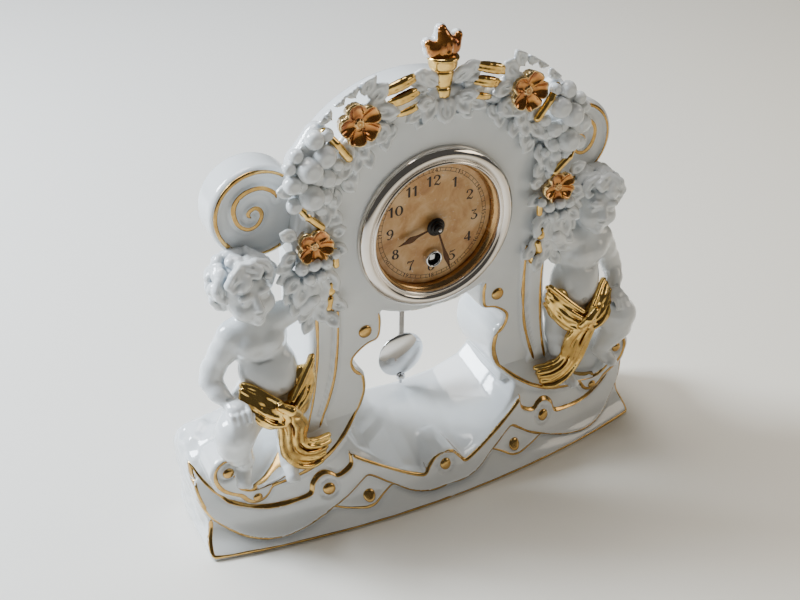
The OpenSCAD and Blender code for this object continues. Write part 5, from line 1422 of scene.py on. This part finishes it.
HOUR_R = 21.0
AFTERNOON_R = 25.9
TRACK = (25.1, 26.7)
for hour in range(1, 13):
    a = math.radians(30 * hour)
    side, up = math.sin(a), math.cos(a)
    figure(str(hour), (HOUR_R * side, DIAL_Z + HOUR_R * up), 4.9, 0.0)
    turn = a if hour < 4 or hour > 8 else a - math.pi
    figure(str(hour + 12), (AFTERNOON_R * side, DIAL_Z + AFTERNOON_R * up), 2.0, turn)
    for radius in TRACK:
        arc = np.radians(np.linspace(30 * hour + 3.6, 30 * hour + 26.4, 14))
        ink([(radius * math.sin(t), DIAL_Z + radius * math.cos(t), 0.2) for t in arc], straight)
    for minute in range(1, 5):
        t = math.radians(30 * hour + 6 * minute)
        ink([(radius * math.sin(t), DIAL_Z + radius * math.cos(t), 0.22) for radius in TRACK], straight)
dial_ink = metal("dial_ink", (0.035, 0.022, 0.015), 0.5, 0.6, 90, 0.6, 0.0)
dial_print = mesh_piece("dial_print", ink_points, ink_faces, smooth=False)
tidy_normals(dial_print)
settle(dial_print, dial_ink, "case", "dial_card")


def dress(material, *nodes):
    """Give nodes carried over from the CAD a material"""
    for name in nodes:
        thing = bpy.data.objects[name]
        thing.data.materials.clear()
        thing.data.materials.append(material)


dress(card(), "dial")

# Hands and hub.
# Spade-shaped stamped steel hands, browned by age, sit on a blackened stepped hub. The end of the
# centre arbor shows as a bright pin in its middle.
browned_steel = metal("browned_steel", (0.10, 0.055, 0.035), 0.28, 0.45, 260, 0.6)
black_oxide_and_shade = metal("black_oxide_and_shade", (0.025, 0.022, 0.02), 0.22, 0.4, 300, 0.7, 0.6)
bright_steel = metal("bright_steel", (0.66, 0.66, 0.67), 0.12, 0.28, 220, 0.8)
dress(browned_steel, "hour_hand", "minute_hand")

hub = (0, 0, DIAL_Z)
settle(lathe("hour_boss", [(0.4, -4.3), (4.0, -4.3), (4.2, -4.5), (4.2, -5.2), (4.0, -5.4), (0.4, -5.4)], hub,
             parts=72), black_oxide_and_shade, "hour_pipe", "dark_steel")
settle(lathe("minute_boss", [(0.4, -5.5), (2.9, -5.5), (3.1, -5.7), (3.1, -6.5), (2.9, -6.7), (0.4, -6.7)], hub,
             parts=64), black_oxide_and_shade, "minute_arbor", "dark_steel")
settle(lathe("hand_collet", [(0.3, -6.75), (2.0, -6.75), (2.2, -6.9), (2.1, -8.0), (1.8, -8.2), (0.3, -8.2)], hub,
             parts=56), black_oxide_and_shade, "minute_arbor", "dark_steel", "hand_nut")
settle(lathe("arbor_tip", [(0.05, -8.1), (0.9, -8.1), (0.9, -8.7), (0.6, -9.0), (0.05, -9.1)], hub, parts=40),
       bright_steel, "minute_arbor", "steel")

# Winding hole.
# A nickelled collar lines the hole in the card, and the square end of the winding arbor stands in
# its dark throat. That dark is painted shade: a black ring set inside the collar.
WIND_Z = 122.2
chrome = metal("chrome", (0.83, 0.83, 0.84), 0.03, 0.08, 80, 0.92)
settle(lathe("winding_eyelet", curve([(3.0, -0.3), (3.05, -3.4), (3.2, -4.3), (3.6, -4.6), (4.0, -4.3), (4.3, -3.2),
                                      (4.35, -2.1), (4.0, -2.02), (4.0, -0.3)], 4),
             (0, 0, WIND_Z), parts=96, closed=True), chrome, "case", "nickel", "winding_collar")
# Painted shade: a black ring that darkens the hole round the winding arbor.
settle(lathe("winding_hole_shade", [(1.75, -0.6), (2.95, -0.6), (2.95, -1.5), (1.75, -1.5)], (0, 0, WIND_Z), parts=64,
             closed=True), black_oxide_and_shade, "case", "nickel")

# Pendulum.
# The bob is a plated lens that slides on a flat steel rod, above a milled rating nut on the thread.
BOB_AT = (0, 25.3, 51.0)
lens = [(0.6, -2.42), (3.5, -2.3), (7.0, -1.86), (10.2, -1.1), (12.0, -0.5), (12.45, -0.2), (12.45, 0.2), (12.0, 0.5),
        (10.2, 1.1), (7.0, 1.86), (3.5, 2.3), (0.6, 2.42)]
settle(lathe("bob_lens", [(r, BOB_AT[1] + t) for r, t in curve(lens, 3)], BOB_AT, parts=120), chrome, "bob", "nickel",
       "pendulum_bob")
MILLING = 48
nut = lathe("milled_nut", [(0.7, 36.45), (2.1, 36.45), (2.35, 36.65), (2.35, 38.1), (2.1, 38.35), (0.7, 38.35)],
            (0, 25.3, 0), "Z", MILLING)
NUT_Y = 0.0253
for vertex in nut.data.vertices:
    turned = math.atan2(vertex.co.y - NUT_Y, vertex.co.x)
    if math.hypot(vertex.co.x, vertex.co.y - NUT_Y) > 0.0022 and round(turned / math.tau * MILLING) % 2:
        vertex.co.x *= 0.93
        vertex.co.y = NUT_Y + (vertex.co.y - NUT_Y) * 0.93
settle(nut, chrome, "rating_nut", "nickel", "rating_nut")
dress(bright_steel, "pendulum_rod", "anchor", "crutch", "click", "click_spring", "click_screw", "ratchet_wheel",
      "winding_arbor", "cannon_pinion", "minute_post", "clamp_screws", "case_screws", "pillar_nuts")

# Movement.
# A round brass drum holds the going train between two brass plates. It is clamped in the bore of
# the arch by a steel ring. Brass is polished and lacquered, the spring is blued.
lacquered_brass = metal("lacquered_brass", (0.80, 0.60, 0.28), 0.16, 0.32, 70, 0.8)
cut_brass = metal("cut_brass", (0.86, 0.68, 0.34), 0.22, 0.36, 240, 0.85)
blued_steel = metal("blued_steel", (0.10, 0.13, 0.24), 0.2, 0.34, 150, 0.6)
plain_steel = metal("plain_steel", (0.50, 0.50, 0.51), 0.24, 0.42, 110, 0.75)
dress(lacquered_brass, "movement_can", "front_plate", "back_plate", "barrel", "barrel_cap")
dress(cut_brass, "pillars", "centre_wheel", "third_wheel", "escape_wheel", "minute_wheel", "hour_wheel")
dress(blued_steel, "mainspring")
dress(plain_steel, "clamp_ring")
